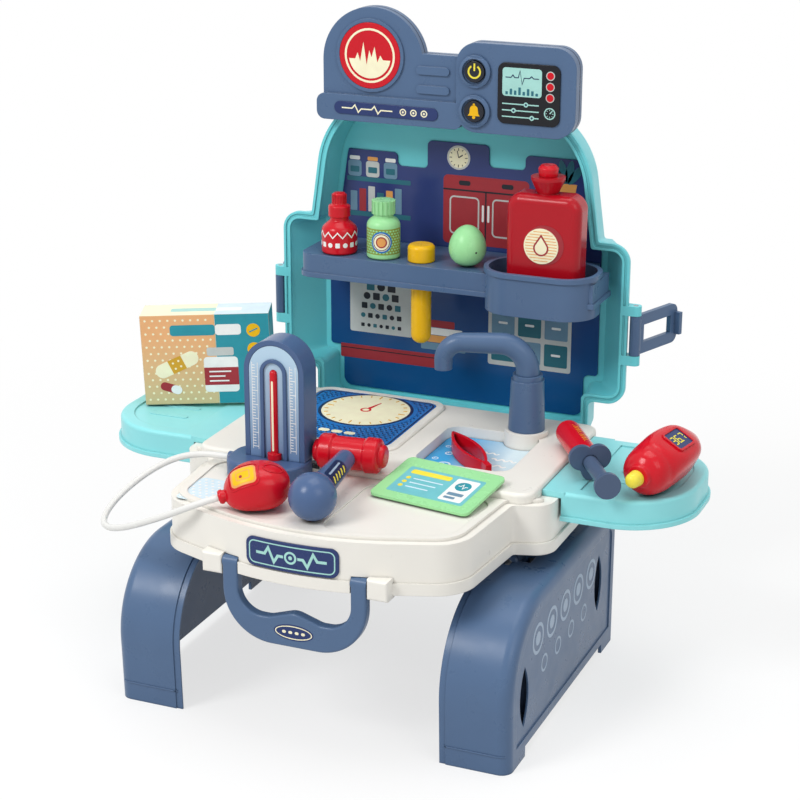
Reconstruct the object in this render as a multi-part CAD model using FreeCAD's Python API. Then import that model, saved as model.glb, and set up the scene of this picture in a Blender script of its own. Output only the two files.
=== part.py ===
import FreeCAD, Part
import math
import os

# Toy doctor backpack opened out as a play table. Millimetres, +X to the right, -Y to the front, +Z up.
# The case folds from four shells: the table, two leg shells below it and the tray that stands up behind it.

# Clearances and small sizes that all pieces share
wall = 2.5
thin_wall = 2.0
fit_gap = 0.3
running_gap = 0.05
overrun = 6.0
join_tolerance = 1.0e-6
touch_tolerance = 6.0e-6
arc_share = 0.45
full_turn = 360.0
right_angle = 90.0

# Case outline, seen from above
wide_half = 150.0
narrow_step = 26.0
lobe_taper = 7.0
rear_step = 30.0
lobe_front = -123.0
lobe_bulge_share = 0.36325
bulge_radius_share = 1.7607
lobe_corner = 30.0
step_y = -39.0
shoulder_slant = 8.0
shoulder_radius = 16.0
inner_corner = 5.0
notch_y = 100.0
notch_radius = 12.0
rear_y = 133.0
rear_radius = 12.0
narrow_half = wide_half - narrow_step
rear_half = wide_half - rear_step
lobe_front_half = narrow_half - lobe_taper
lobe_bulge = lobe_front_half * lobe_bulge_share
bulge_radius = lobe_front_half * bulge_radius_share

# Table levels
case_bottom = 130.5
case_depth = 38.0
flange_height = 9.0
flange_proud = 1.8
ledge_width = 6.0
lobe_rise = 2.5
deck_rise = 8.0
deck_front = -36.0
deck_ledge = 13.0
deck_rear = 130.0
deck_corner = 12.0
deck_fillet = 3.0
ledge_z = case_bottom + case_depth
lobe_top = ledge_z + lobe_rise
deck_top = ledge_z + deck_rise
deck_half = wide_half - deck_ledge

# Shallow trays in the front lobe
tray_inner_x = 14.0
tray_rear = -42.0
tray_depth = 1.2
tray_corner = 14.0
tray_margin = 6.0

# Dial platform and its printed plate
plate_centre_x = -49.0
plate_centre_y = 66.0
plate_width = 104.0
plate_length = 112.0
plate_thick = 1.5
plate_corner = 10.0
platform_rim = 7.0
platform_rise = 2.5
plate_sink = 0.6

# Basin, its water sheet and the faucet boss
basin_left = 28.0
basin_right = 105.0
basin_front = 1.0
basin_rear = 85.0
basin_depth = 9.5
basin_corner = 12.0
water_thick = 1.0
faucet_x = 89.0
faucet_y = 90.0
boss_radius = 17.5
boss_rise = 4.0

# Underside plate, its screws and the leg hinge lugs
base_thick = 3.0
screw_shaft = 1.4
screw_head = 3.0
screw_head_thick = 1.8
screw_length = 14.0
post_radius = 4.0
screw_places_shares = [(-0.62, -0.70), (0.62, -0.70), (-0.80, 0.12), (0.80, 0.12), (-0.62, 0.72),
                       (0.62, 0.72)]
lug_width = 14.0
lug_half = 6.5
lug_front_y = -15.0
lug_rear_y = 85.0
pin_radius = 3.0

# Leg shells
leg_overhang = 7.7
leg_width = 53.4
leg_front = -130.0
leg_rear = 120.0
leg_gap = 12.5
leg_front_lean = 5.0
leg_front_corner = 66.0
leg_rear_corner = 24.0
leg_edge = 9.0
foot_step = 8.0
foot_length = 34.0
rim_tongue = 5.0
rim_step = 1.1
slot_height = 48.0
slot_width = 18.0
slot_front_y = -98.0
slot_front_z = 48.0
slot_rear_y = 74.0
slot_rear_z = 66.0
panel_margin = 15.0
panel_sink = 1.0
ear_thick = 4.0
notch_reach = 16.0
hinge_inset = 12.95
leg_outer = wide_half + leg_overhang
leg_inner = leg_outer - leg_width
leg_top = case_bottom - leg_gap
hinge_x = leg_inner + hinge_inset
hinge_z = case_bottom - 2 * fit_gap - hinge_inset

# Carrying handle and its lugs
handle_half = 50.2
arm_width = 12.0
handle_thick = 9.0
pivot_sink = 0.6
pivot_z = 138.0
grip_drop = 58.0
grip_corner_share = 0.757
grip_height = 21.0
grip_swell = 6.5
swell_half_share = 0.4
inner_radius_share = 0.36
swell_radius_share = 0.3
handle_edge = 2.0
handle_lug_width = 16.0
handle_lug_bottom = 128.0
handle_lug_top = 143.5
handle_lug_depth = 9.0
handle_pin_depth = 7.0
bulge_slope = math.atan(lobe_bulge_share)
bulge_centre_y = lobe_front - lobe_bulge + bulge_radius / math.cos(bulge_slope)
pivot_y = bulge_centre_y - math.sqrt(bulge_radius ** 2 - handle_half ** 2) + pivot_sink

# Front badge plate
badge_half = 36.0
badge_bottom = 140.5
badge_height = 22.0
badge_thick = 1.2
badge_corner = 6.0

# Side trays
wing_reach = 91.0
wing_front = -12.0
wing_rear = 113.0
wing_front_corner_share = 0.594
wing_rear_corner_share = 0.528
wing_top = 173.0
wing_height = 21.5
wing_lip = 3.5
wing_lip_proud = 2.2
wing_edge = 3.0
wing_margin = 11.0
wing_sink = 1.2
wing_bar_share = 0.374
wing_bar_width = 6.0
wing_bar_count = 3
wing_bar_pitch = 22.0
wing_tab_length = 22.0
wing_tab_thick = 3.0
wing_tab_depth = 14.0
wing_tab_inset = 30.0
wing_outer = wide_half + wing_reach
wing_front_corner = wing_reach * wing_front_corner_share
wing_rear_corner = wing_reach * wing_rear_corner_share
wing_bar_length = wing_reach * wing_bar_share

# Back tray, upright behind the table
rim_y = 150.3
tray_deep = 30.0
panel_bottom = 152.0
panel_notch_z = 188.0
shoulder_z = 320.0
panel_top = 426.0
panel_top_taper = 15.0
panel_top_corner = 70.0
panel_ear_corner = 15.0
panel_foot_corner = 8.0
ear_back_step = 22.0
back_draft = 4.0
rim_width = 4.0
rim_bead = 2.0
rim_bead_deep = 3.5
board_thick = 1.5
board_margin = 5.0
board_tops_shares = [(0.24, 0.80), (0.36, 0.76), (0.60, 0.845), (0.74, 0.78), (1.0, 0.825)]
board_step_radius = 4.0
panel_top_half = narrow_half - panel_top_taper
ear_back_half = wide_half - ear_back_step

# Hinge between the table and the back tray
panel_axis_y = 142.0
panel_axis_z = ledge_z + fit_gap - rim_y + panel_axis_y
knuckle_radius = 6.0
knuckle_width = 11.0
table_knuckle = 20.0
knuckle_x = 70.0
stop_half = 32.0
stop_height = 4.0

# Side latches
latch_axis_out = 5.5
latch_axis_deep = 4.5
latch_barrel = 4.5
latch_bottom = 222.0
latch_top = 271.0
latch_lug_height = 8.0
latch_reach = 54.0
latch_thick = 4.0
latch_hook = 7.0
latch_window_margin = 9.0
latch_pin = 2.0
latch_open = 70.0

# Shelf with its cup
shelf_inset = 6.0
shelf_overhang = 13.0
shelf_front = 111.0
shelf_top = 296.0
shelf_plate = 3.0
shelf_apron = 19.0
shelf_corner = 12.0
cup_width = 91.0
cup_front = 97.0
cup_rear = 153.0
cup_floor = 268.0
cup_rim = 302.0
cup_corner = 26.0
shelf_bead = 1.4
shelf_bead_height = 4.0
shelf_left = shelf_inset - narrow_half
shelf_right = rear_half + shelf_overhang
cup_left = shelf_right - cup_width

# Sign on top of the back tray
sign_front_y = 138.0
sign_seam = 6.0
sign_rise = 3.0
bar_left = -111.0
bar_right = 14.0
bar_bottom = 403.0
bar_top = 424.0
bar_corner = 7.0
dome_x = -63.0
dome_z = 451.0
dome_radius = 43.0
block_left = -30.0
block_top = 460.0
block_corner = 8.0
monitor_left = 9.0
monitor_right = 107.0
monitor_bottom = 402.0
monitor_top = 472.0
monitor_corner = 17.0
disc_x = -65.0
disc_z = 456.0
disc_radius = 26.0
disc_thick = 1.5
disc_ring = 3.0
strip_margin = 5.5
strip_left = -95.0
strip_right = -6.0
strip_thick = 0.8
screen_left = 44.0
screen_right = 94.5
screen_bottom = 411.5
screen_top = 458.7
screen_thick = 1.2
screen_corner = 6.0
pill_length = 28.0
pill_height = 6.5
pill_rise = 1.6
pill_x = -11.5
pill_low_z = 429.0
pill_high_z = 444.0
button_x = 25.0
power_z = 450.0
bell_z = 419.0
button_radius = 8.2
button_proud = 2.6
button_flange = 1.6
button_flange_thick = 1.4
button_travel = 2.0
button_stem = 3.0
boss_ring = 3.0
boss_ring_rise = 1.2
switch_size = 6.0
switch_height = 0.8
board_left = 17.0
board_right = 41.0
board_low = 410.0
board_high = 462.0
circuit_thick = 1.2
cell_radius = 5.2
cell_length = 44.5
cell_x = 50.0
cell_low_z = 412.0
speaker_radius = 16.0
speaker_thick = 6.0
hook_x = 36.0
hook_width = 11.0
hook_thick = 5.0
hook_depth = 12.0
hook_offset = 7.0

# Faucet
column_radius = 14.5
column_taper = 1.5
column_height = 41.0
collar_radius = 13.2
collar_height = 4.0
spigot_radius = 8.0
spigot_depth = 9.0
pipe_radius = 9.3
pipe_wall = 2.0
outlet_radius = 7.0
pipe_rise = 24.0
pipe_bend = 22.0
pipe_reach = 66.0
pipe_end_bend = 15.0
pipe_drop = 7.0
pipe_yaw = 17.0
swivel_radius = 6.0
swivel_depth = 16.0
outlet_depth = 8.0

# Cuff gauge
gauge_left = -96.0
gauge_right = -33.0
gauge_front = -77.0
gauge_rear = -31.0
gauge_base_height = 13.0
gauge_corner = 18.0
seat_gap = 1.0
gauge_base_edge = 2.5
tower_left = -83.0
tower_width = 49.0
tower_front = -57.0
tower_depth = 24.0
tower_top = 276.5
tower_edge = 3.0
scale_margin = 4.0
scale_thick = 1.4
ridge_outer = 10.5
ridge_width = 2.4
ridge_rise = 1.6
ridge_top = 262.0
mercury_radius = 3.0
mercury_top = 251.0
mercury_foot = 5.0
port_radius = 4.6
port_length = 3.0
port_y = -53.0
port_z = 178.2

# Air hose, its points chosen by hand along the loop that it makes beside the table
hose_diameter = 5.0
hose_points = [
    (-99.0, -53.0, 178.2),
    (-111.0, -53.0, 178.2),
    (-124.5, -53.2, 177.0),
    (-139.0, -53.4, 173.2),
    (-153.5, -54.8, 166.6),
    (-166.0, -60.0, 158.6),
    (-175.8, -69.0, 150.2),
    (-181.6, -81.5, 143.0),
    (-182.8, -96.0, 137.0),
    (-178.0, -110.5, 134.2),
    (-167.5, -121.5, 135.4),
    (-153.5, -129.5, 140.0),
    (-138.5, -135.5, 146.6),
    (-123.0, -139.5, 154.0),
    (-107.0, -142.2, 161.8),
    (-91.5, -143.2, 169.6),
    (-77.0, -141.0, 176.4),
    (-65.0, -135.0, 180.4),
]

# Squeeze bulb at the end of the hose
bulb_length = 48.0
bulb_width = 43.0
bulb_height = 33.0
bulb_yaw = 38.0
bulb_round = 9.0
bulb_neck_radius = 4.6
bulb_neck_length = 6.0
bulb_section_shares = [(0.00, 0.46, 0.56), (0.22, 0.86, 0.90), (0.62, 1.00, 1.00), (0.90, 0.80, 0.84),
                       (1.00, 0.58, 0.66)]

# Reflex hammer
hammer_ball_x = 5.0
hammer_ball_y = -126.0
hammer_ball = 17.5
hammer_length = 86.0
hammer_neck = 7.5
hammer_shaft = 10.5
hammer_yaw = 6.0
hammer_head_radius = 13.6
hammer_head_length = 56.0
hammer_spigot = 4.5
hammer_waist_share = 0.90
hammer_head_shares = [
    (0.00, 0.00, 0.00), (0.62, 0.00, 0.20), (0.66, 0.07, 0.00), (0.98, 0.09, 0.20), (1.00, 0.26, 0.05),
    (hammer_waist_share, 0.29, 0.05), (hammer_waist_share, 0.71, 0.05), (1.00, 0.74, 0.05),
    (0.98, 0.91, 0.20),
    (0.66, 0.93, 0.00), (0.62, 1.00, 0.20), (0.00, 1.00, 0.00),
]

# Tweezers
tweezer_length = 76.0
tweezer_spread = 18.0
tweezer_strip = 2.4
tweezer_height = 11.0
tweezer_stem = 4.0
jaw_gap = 0.8
tweezer_tip_x = 36.0
tweezer_tip_y = 65.0
tweezer_yaw = -48.5

# Card
card_width = 83.0
card_length = 60.0
card_thick = 2.2
card_corner = 5.0
card_inset = 87.0
card_front_y = -73.5
card_yaw = -9.0
card_front_x = wide_half - card_inset

# Syringe on the right tray
syringe_yaw = 122.4
syringe_out = 40.5
syringe_disc_y = -22.5
barrel_radius = 10.0
barrel_bore = 8.0
barrel_length = 70.0
barrel_shares = [(0.00, 0.00, 0.00), (1.00, 0.00, 0.00), (1.00, 1.00, 0.90), (0.00, 1.00, 0.00)]
flange_drop = 14.0
flange_thick = 4.0
lobe_radius = 9.6
lobe_out = 6.4
lobe_up = 3.6
flange_tip = 6.0
plunger_radius = 5.5
plunger_disc = 9.8
plunger_disc_thick = 4.0
plunger_out = 50.0
plunger_in = 8.0
piston_thick = 6.0
piston_gap = 0.1
syringe_disc_x = wide_half + syringe_out

# Ear thermometer on the right tray
thermo_yaw = 79.0
thermo_out = 57.0
thermo_tip_y = -5.0
thermo_radius = 19.5
thermo_length = 90.0
thermo_shares = [
    (0.00, 0.00, 0.00), (0.46, 0.00, 0.10), (0.50, 0.06, 0.16), (0.88, 0.16, 0.30), (1.00, 0.36, 0.60),
    (0.96, 0.72, 0.90), (0.62, 0.97, 0.55), (0.00, 1.00, 0.00),
]
thermo_seat = 1.5
tip_radius = 6.2
tip_length = 12.0
display_length = 22.0
display_width = 17.0
display_place_share = 0.52
display_thick = 2.6
display_rise = 0.8
display_gap = 0.05
thermo_tip_x = wide_half + thermo_out
tip_shares = [(0.00, 0.00, 0.00), (1.00, 0.00, 0.00), (0.86, 1.00, 0.80), (0.00, 1.00, 0.00)]

# Carton on the left tray
carton_width = 105.0
carton_depth = 31.0
carton_height = 76.0
carton_out = 74.0
carton_y = 39.5
carton_yaw = 21.0
carton_x = -wide_half - carton_out

# Bottles, tube and egg on the shelf
shelf_row_y = 128.0
red_bottle_x = -88.5
red_bottle_radius = 14.6
red_bottle_height = 30.0
red_bottle_shares = [
    (0.00, 0.00, 0.00), (1.00, 0.00, 0.14), (1.00, 0.70, 0.45), (0.52, 0.90, 0.10), (0.52, 1.00, 0.00),
    (0.00, 1.00, 0.00),
]
red_cap_radius = 9.0
red_cap_height = 20.0
red_cap_shares = [
    (0.00, 0.00, 0.00), (1.00, 0.00, 0.08), (1.00, 0.44, 0.20), (0.66, 0.52, 0.10), (0.60, 0.96, 0.20),
    (0.00, 1.00, 0.00),
]
green_bottle_x = -49.5
green_bottle_radius = 13.6
green_bottle_height = 36.0
green_bottle_shares = [
    (0.00, 0.00, 0.00), (1.00, 0.00, 0.14), (1.00, 0.82, 0.50), (0.58, 0.94, 0.08), (0.58, 1.00, 0.00),
    (0.00, 1.00, 0.00),
]
green_cap_radius = 9.6
green_cap_height = 11.0
green_cap_ribs = 16
green_cap_rib = 0.9
tube_x = -16.5
tube_radius = 8.2
tube_length = 69.0
tube_wall = 1.2
tube_cap_radius = 11.0
tube_cap_height = 14.0
tube_shares = [(0.00, 0.00, 0.00), (1.00, 0.00, 0.98), (1.00, 1.00, 0.00), (0.00, 1.00, 0.00)]
tube_cap_shares = [(0.00, 0.00, 0.00), (1.00, 0.00, 0.08), (1.00, 1.00, 0.30), (0.00, 1.00, 0.00)]
egg_x = 23.0
egg_radius = 15.0
egg_height = 30.0
egg_shares = [
    (0.00, 0.00, 0.00), (0.40, 0.00, 0.10), (0.97, 0.14, 0.50), (1.03, 0.50, 1.20), (0.74, 0.97, 0.66),
    (0.00, 1.00, 0.00),
]

# Hot-water bag standing in the cup
bag_inset = 42.7
bag_y = 124.0
bag_half = 30.5
bag_taper_share = 0.97
bag_thick = 26.0
bag_height = 92.0
bag_shoulder = 5.0
bag_corner = 13.0
bag_edge = 7.0
bag_neck_half = 8.4
bag_neck_height = 13.0
bag_collar_half = 13.4
bag_collar_height = 2.4
stopper_half = 8.0
stopper_height = 9.0
badge_disc = 14.0
badge_disc_thick = 1.0
stopper_shares = [(0.00, 0.00, 0.00), (0.90, 0.00, 0.00), (1.00, 0.70, 0.20), (0.70, 1.00, 0.20),
                  (0.00, 1.00, 0.00)]
bag_x = shelf_right - bag_inset


def vec(x, y, z):
    return FreeCAD.Vector(x, y, z)


def on_floor(level):
    return lambda a, b: vec(a, b, level)


def on_front(depth):
    return lambda a, b: vec(a, depth, b)


def on_side(x):
    return lambda a, b: vec(x, a, b)


def mirrored(half):
    # a half outline whose ends lie on the mirror line, completed on the other side
    other = [(-a, b, r) for a, b, r in reversed(half) if a != 0]
    return half + other


def rounded_wire(corners, place):
    # closed outline through the corners, each with its own radius
    count = len(corners)
    points = [place(a, b) for a, b, radius in corners]
    entries = []
    leaves = []
    arcs = []
    for i in range(count):
        here = points[i]
        radius = corners[i][2]
        before = (points[i - 1] - here).normalize()
        after = (points[(i + 1) % count] - here).normalize()
        half = before.getAngle(after) / 2
        reach = radius / math.tan(half)
        entry = here + before * reach
        leave = here + after * reach
        middle = here
        if radius:
            middle = here + (before + after).normalize() * (radius / math.sin(half) - radius)
        entries.append(entry)
        leaves.append(leave)
        arcs.append(Part.Arc(entry, middle, leave).toShape() if radius else None)
    edges = []
    for i in range(count):
        if arcs[i]:
            edges.append(arcs[i])
        following = entries[(i + 1) % count]
        if (following - leaves[i]).Length > join_tolerance:
            edges.append(Part.LineSegment(leaves[i], following).toShape())
    return Part.Wire(Part.__sortEdges__(edges))


def rounded_face(corners, place):
    return Part.Face(rounded_wire(corners, place))


def rectangle(a0, a1, b0, b1, radius):
    return [(a0, b0, radius), (a1, b0, radius), (a1, b1, radius), (a0, b1, radius)]


def grown(face, amount):
    return face.makeOffset2D(amount).Faces[0]


def prism(face, height):
    return face.extrude(vec(0, 0, height))


def slab(corners, y0, y1):
    # outline in the XZ plane, thickened along Y
    return rounded_face(corners, on_front(y0)).extrude(vec(0, y1 - y0, 0))


def block(x0, x1, y0, y1, z0, z1):
    return Part.makeBox(x1 - x0, y1 - y0, z1 - z0, vec(x0, y0, z0))


def rounded_block(x0, x1, y0, y1, z0, z1, radius):
    return prism(rounded_face(rectangle(x0, x1, y0, y1, radius), on_floor(z0)), z1 - z0)


def rod(start, end, radius):
    along = end - start
    return Part.makeCylinder(radius, along.Length, start, along)


def flip(shape):
    return shape.mirror(vec(0, 0, 0), vec(1, 0, 0))


def edges_at(shape, level):
    # edges that lie in the horizontal plane at this level
    found = []
    for edge in shape.Edges:
        box = edge.BoundBox
        if abs(box.ZMin - level) < touch_tolerance and abs(box.ZMax - level) < touch_tolerance:
            found.append(edge)
    return found


def turned(radius, height, shares):
    # round piece standing on the origin, from shares of its radius and height
    corners = [(r * radius, h * height, fillet * radius) for r, h, fillet in shares]
    face = rounded_face(corners, on_front(0))
    return face.revolve(vec(0, 0, 0), vec(0, 0, 1), full_turn)


def laid(shape, start, along):
    # a piece made standing on the origin, laid with its base at start
    copy = shape.copy()
    copy.Placement = FreeCAD.Placement(start, FreeCAD.Rotation(vec(0, 0, 1), along))
    return copy


def heading(yaw):
    angle = math.radians(yaw)
    return vec(math.cos(angle), math.sin(angle), 0)


def case_face(level):
    half = [
        (0, lobe_front - lobe_bulge, bulge_radius),
        (lobe_front_half, lobe_front, lobe_corner),
        (narrow_half, step_y, inner_corner),
        (wide_half, step_y + shoulder_slant, shoulder_radius),
        (wide_half, notch_y, notch_radius),
        (rear_half, notch_y, inner_corner),
        (rear_half, rear_y, rear_radius),
    ]
    return rounded_face(mirrored(half), on_floor(level))


def deck_face(inset, level):
    corners = rectangle(-deck_half + inset, deck_half - inset, deck_front + inset, deck_rear - inset,
                        deck_corner - inset)
    return rounded_face(corners, on_floor(level))


def screw_places():
    return [(x * rear_half, y * rear_y) for x, y in screw_places_shares]


def wing_tab_places():
    return [wing_front + wing_tab_inset, wing_rear - wing_tab_inset]


def basin_block(margin, floor):
    return rounded_block(basin_left - margin, basin_right + margin, basin_front - margin,
                         basin_rear + margin,
                         floor, deck_top, basin_corner + margin)


def platform_block(margin, bottom, top):
    half_width = plate_width / 2 + margin
    half_length = plate_length / 2 + margin
    return rounded_block(plate_centre_x - half_width, plate_centre_x + half_width,
                         plate_centre_y - half_length,
                         plate_centre_y + half_length, bottom, top, plate_corner + margin)


def handle_lug(side):
    inner = handle_half + arm_width / 2 + fit_gap
    x0, x1 = sorted((side * inner, side * (inner + handle_lug_width)))
    front = pivot_y - handle_lug_depth / 2
    lug = block(x0, x1, front, pivot_y + handle_thick, handle_lug_bottom, handle_lug_top)
    corner_edges = [edge for edge in lug.Edges if edge.BoundBox.YMax < front + touch_tolerance]
    return lug.makeFillet(handle_edge, corner_edges)


def table_knuckles():
    # lugs behind the table that carry the back tray's hinge pins
    lugs = []
    for side in (-1, 1):
        x0 = side * knuckle_x - table_knuckle / 2
        x1 = x0 + table_knuckle
        lug = block(x0, x1, rear_y - wall, panel_axis_y, panel_axis_z - knuckle_radius,
                    panel_axis_z + knuckle_radius)
        barrel = rod(vec(x0, panel_axis_y, panel_axis_z), vec(x1, panel_axis_y, panel_axis_z),
                     knuckle_radius)
        bore = rod(vec(x0, panel_axis_y, panel_axis_z), vec(x1, panel_axis_y, panel_axis_z), pin_radius)
        lugs.append(lug.fuse(barrel).cut(bore))
    return lugs


def lobe_tray(side):
    # shallow recess that follows the lobe's edge on one side of the middle
    bottom = lobe_top - tray_depth
    field = prism(grown(case_face(bottom), -ledge_width - tray_margin), tray_depth + overrun)
    x0, x1 = sorted((side * tray_inner_x, side * wide_half))
    recess = field.common(block(x0, x1, lobe_front - lobe_bulge, tray_rear, bottom, lobe_top + overrun))
    corners = []
    for edge in recess.Edges:
        box = edge.BoundBox
        upright = box.ZLength > tray_depth and box.XLength + box.YLength < touch_tolerance
        inner = abs(box.XMin - side * tray_inner_x) < touch_tolerance
        if upright and (inner or abs(box.YMin - tray_rear) < touch_tolerance):
            corners.append(edge)
    return recess.makeFillet(tray_corner, corners)


def arm_pocket(grow):
    # notches in the front wall that the handle's arms swing in
    notches = []
    half = arm_width / 2 + fit_gap + grow
    back = pivot_y + handle_thick / 2 + fit_gap + grow
    top = pivot_z + handle_thick / 2 + fit_gap + grow
    bottom = case_bottom if grow else case_bottom - overrun
    for side in (-1, 1):
        x = side * handle_half
        notches.append(block(x - half, x + half, lobe_front - lobe_bulge, back, bottom, top))
    return notches


def table_top():
    face = case_face(case_bottom)
    shell = prism(face, case_depth)
    flange = prism(grown(face, flange_proud), flange_height)
    behind = block(-wide_half, wide_half, deck_front + deck_corner, rear_y + overrun, ledge_z, deck_top)
    lobe = prism(grown(case_face(ledge_z), -ledge_width), lobe_rise).cut(behind)
    deck = prism(deck_face(0, ledge_z), deck_rise)
    deck = deck.makeFillet(deck_fillet, edges_at(deck, deck_top))
    platform = platform_block(platform_rim, deck_top - wall, deck_top + platform_rise)
    platform = platform.makeFillet(platform_rise - plate_sink, edges_at(platform, deck_top + platform_rise))
    outside = shell.fuse([flange, lobe, deck, platform, handle_lug(-1), handle_lug(1)] + table_knuckles())
    hollow = prism(grown(face, -wall), case_depth - wall)
    hollow = hollow.fuse(prism(deck_face(wall, case_bottom + base_thick),
                               deck_top - wall - case_bottom - base_thick))
    keep = arm_pocket(wall) + [basin_block(wall, deck_top - basin_depth - wall)]
    boss_axis = vec(faucet_x, faucet_y, deck_top + boss_rise)
    keep.append(rod(vec(faucet_x, faucet_y, deck_top - basin_depth - wall), boss_axis, boss_radius))
    for x, y in screw_places():
        keep.append(rod(vec(x, y, case_bottom + base_thick), vec(x, y, deck_top), post_radius))
    body = outside.cut(hollow.cut(keep))
    cuts = arm_pocket(0) + [basin_block(0, deck_top - basin_depth)]
    plate_bottom = deck_top + platform_rise - plate_sink - plate_thick
    cuts.append(platform_block(fit_gap, plate_bottom, deck_top + platform_rise + overrun))
    cuts.append(block(gauge_left - seat_gap, gauge_right + seat_gap, deck_front - overrun,
                      gauge_rear + seat_gap,
                      lobe_top, deck_top + overrun))
    for side in (-1, 1):
        cuts.append(lobe_tray(side))
        for y in wing_tab_places():
            x0, x1 = sorted((side * (deck_half + wall),
                             side * (deck_half + wall + wing_tab_thick + 2 * fit_gap)))
            half = wing_tab_length / 2 + fit_gap
            cuts.append(block(x0, x1, y - half, y + half, ledge_z - wall - overrun, ledge_z + overrun))
    body = body.cut(cuts)
    boss = rod(vec(faucet_x, faucet_y, deck_top - basin_depth), boss_axis, boss_radius)
    body = body.fuse(boss)
    bores = [rod(boss_axis - vec(0, 0, spigot_depth), boss_axis + vec(0, 0, overrun), spigot_radius)]
    bores.append(handle_pins())
    for x, y in screw_places():
        bottom = vec(x, y, case_bottom)
        bores.append(rod(bottom, bottom + vec(0, 0, screw_length), screw_shaft))
    return body.cut(bores).removeSplitter()


def leg_lugs(side):
    lugs = []
    for y in (lug_front_y, lug_rear_y):
        low = y - lug_width / 2
        x = side * hinge_x
        plate = block(x - lug_half, x + lug_half, low, low + lug_width, hinge_z, case_bottom + base_thick)
        end = rod(vec(x, low, hinge_z), vec(x, low + lug_width, hinge_z), lug_half)
        bore = rod(vec(x, low - overrun, hinge_z), vec(x, low + lug_width + overrun, hinge_z), pin_radius)
        lugs.append(plate.fuse(end).cut(bore))
    return lugs


def table_base():
    plate = prism(grown(case_face(case_bottom), -wall - fit_gap), base_thick)
    plate = plate.fuse(leg_lugs(-1) + leg_lugs(1))
    holes = arm_pocket(wall + fit_gap)
    for x, y in screw_places():
        bottom = vec(x, y, case_bottom)
        holes.append(rod(bottom, bottom + vec(0, 0, base_thick), screw_shaft))
        holes.append(rod(bottom, bottom + vec(0, 0, screw_head_thick), screw_head))
    return plate.cut(holes)


def table_screws():
    screws = []
    for x, y in screw_places():
        bottom = vec(x, y, case_bottom)
        head = rod(bottom, bottom + vec(0, 0, screw_head_thick), screw_head)
        screws.append(head.fuse(rod(bottom, bottom + vec(0, 0, screw_length), screw_shaft)))
    return Part.makeCompound(screws)


def leg_pins():
    pins = []
    reach = lug_width / 2 + fit_gap + ear_thick
    for side in (-1, 1):
        for y in (lug_front_y, lug_rear_y):
            pins.append(rod(vec(side * hinge_x, y - reach, hinge_z),
                            vec(side * hinge_x, y + reach, hinge_z), pin_radius))
    return Part.makeCompound(pins)


def leg_corners(inset, foot):
    return [
        (leg_front + inset, foot, 0),
        (leg_front - leg_front_lean + inset, leg_top - inset, leg_front_corner - inset),
        (leg_rear - inset, leg_top - inset, leg_rear_corner - inset),
        (leg_rear - inset, foot, 0),
    ]


def leg_core(inset, foot, x0, x1, edge):
    # solid of the leg's side profile, with its outer edges rounded
    core = rounded_face(leg_corners(inset, foot), on_side(x0)).extrude(vec(x1 - x0, 0, 0))
    if edge == 0:
        return core
    chosen = []
    for item in core.Edges:
        box = item.BoundBox
        if box.XMin > x1 - touch_tolerance and box.ZMax > foot + overrun:
            chosen.append(item)
    return core.makeFillet(edge, chosen)


def lens(y, z, height, width, x0, x1):
    # upright opening between two arcs
    low = vec(x0, y, z - height / 2)
    high = vec(x0, y, z + height / 2)
    fore = Part.Arc(low, vec(x0, y - width / 2, z), high).toShape()
    aft = Part.Arc(high, vec(x0, y + width / 2, z), low).toShape()
    return Part.Face(Part.Wire([fore, aft])).extrude(vec(x1 - x0, 0, 0))


def leg_right():
    shell = leg_core(0, 0, leg_inner, leg_outer, leg_edge)
    shell = shell.cut(leg_core(wall, -overrun, leg_inner - overrun, leg_outer - wall, leg_edge - wall))
    foot_gap = block(leg_outer - leg_edge, leg_outer + overrun, leg_front + foot_length,
                     leg_rear - foot_length,
                     -overrun, foot_step)
    tongue = leg_core(-overrun, -overrun, leg_inner - overrun, leg_inner + rim_tongue, 0)
    tongue = tongue.cut(leg_core(rim_step, -overrun, leg_inner - overrun, leg_inner + rim_tongue, 0))
    recess = leg_core(panel_margin, panel_margin, leg_outer - panel_sink, leg_outer + overrun, 0)
    cuts = [foot_gap, tongue, recess]
    for y, z in ((slot_front_y, slot_front_z), (slot_rear_y, slot_rear_z)):
        cuts.append(lens(y, z, slot_height, slot_width, leg_outer - wall - overrun, leg_outer + overrun))
    shell = shell.cut(cuts)
    ears = []
    bores = []
    for y in (lug_front_y, lug_rear_y):
        half = lug_width / 2 + fit_gap
        shell = shell.cut(block(leg_inner - overrun, hinge_x + notch_reach, y - half, y + half,
                                leg_top - wall - overrun, leg_top + overrun))
        for low in (y - half - ear_thick, y + half):
            disc = rod(vec(hinge_x, low, hinge_z), vec(hinge_x, low + ear_thick, hinge_z), lug_half)
            root = block(hinge_x - lug_half, hinge_x + lug_half + wall, low, low + ear_thick,
                         hinge_z - lug_half, leg_top)
            ears.append(disc.fuse(root))
        reach = half + ear_thick + overrun
        bores.append(rod(vec(hinge_x, y - reach, hinge_z), vec(hinge_x, y + reach, hinge_z),
                         pin_radius + running_gap))
    return shell.fuse(ears).cut(bores).removeSplitter()


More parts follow.
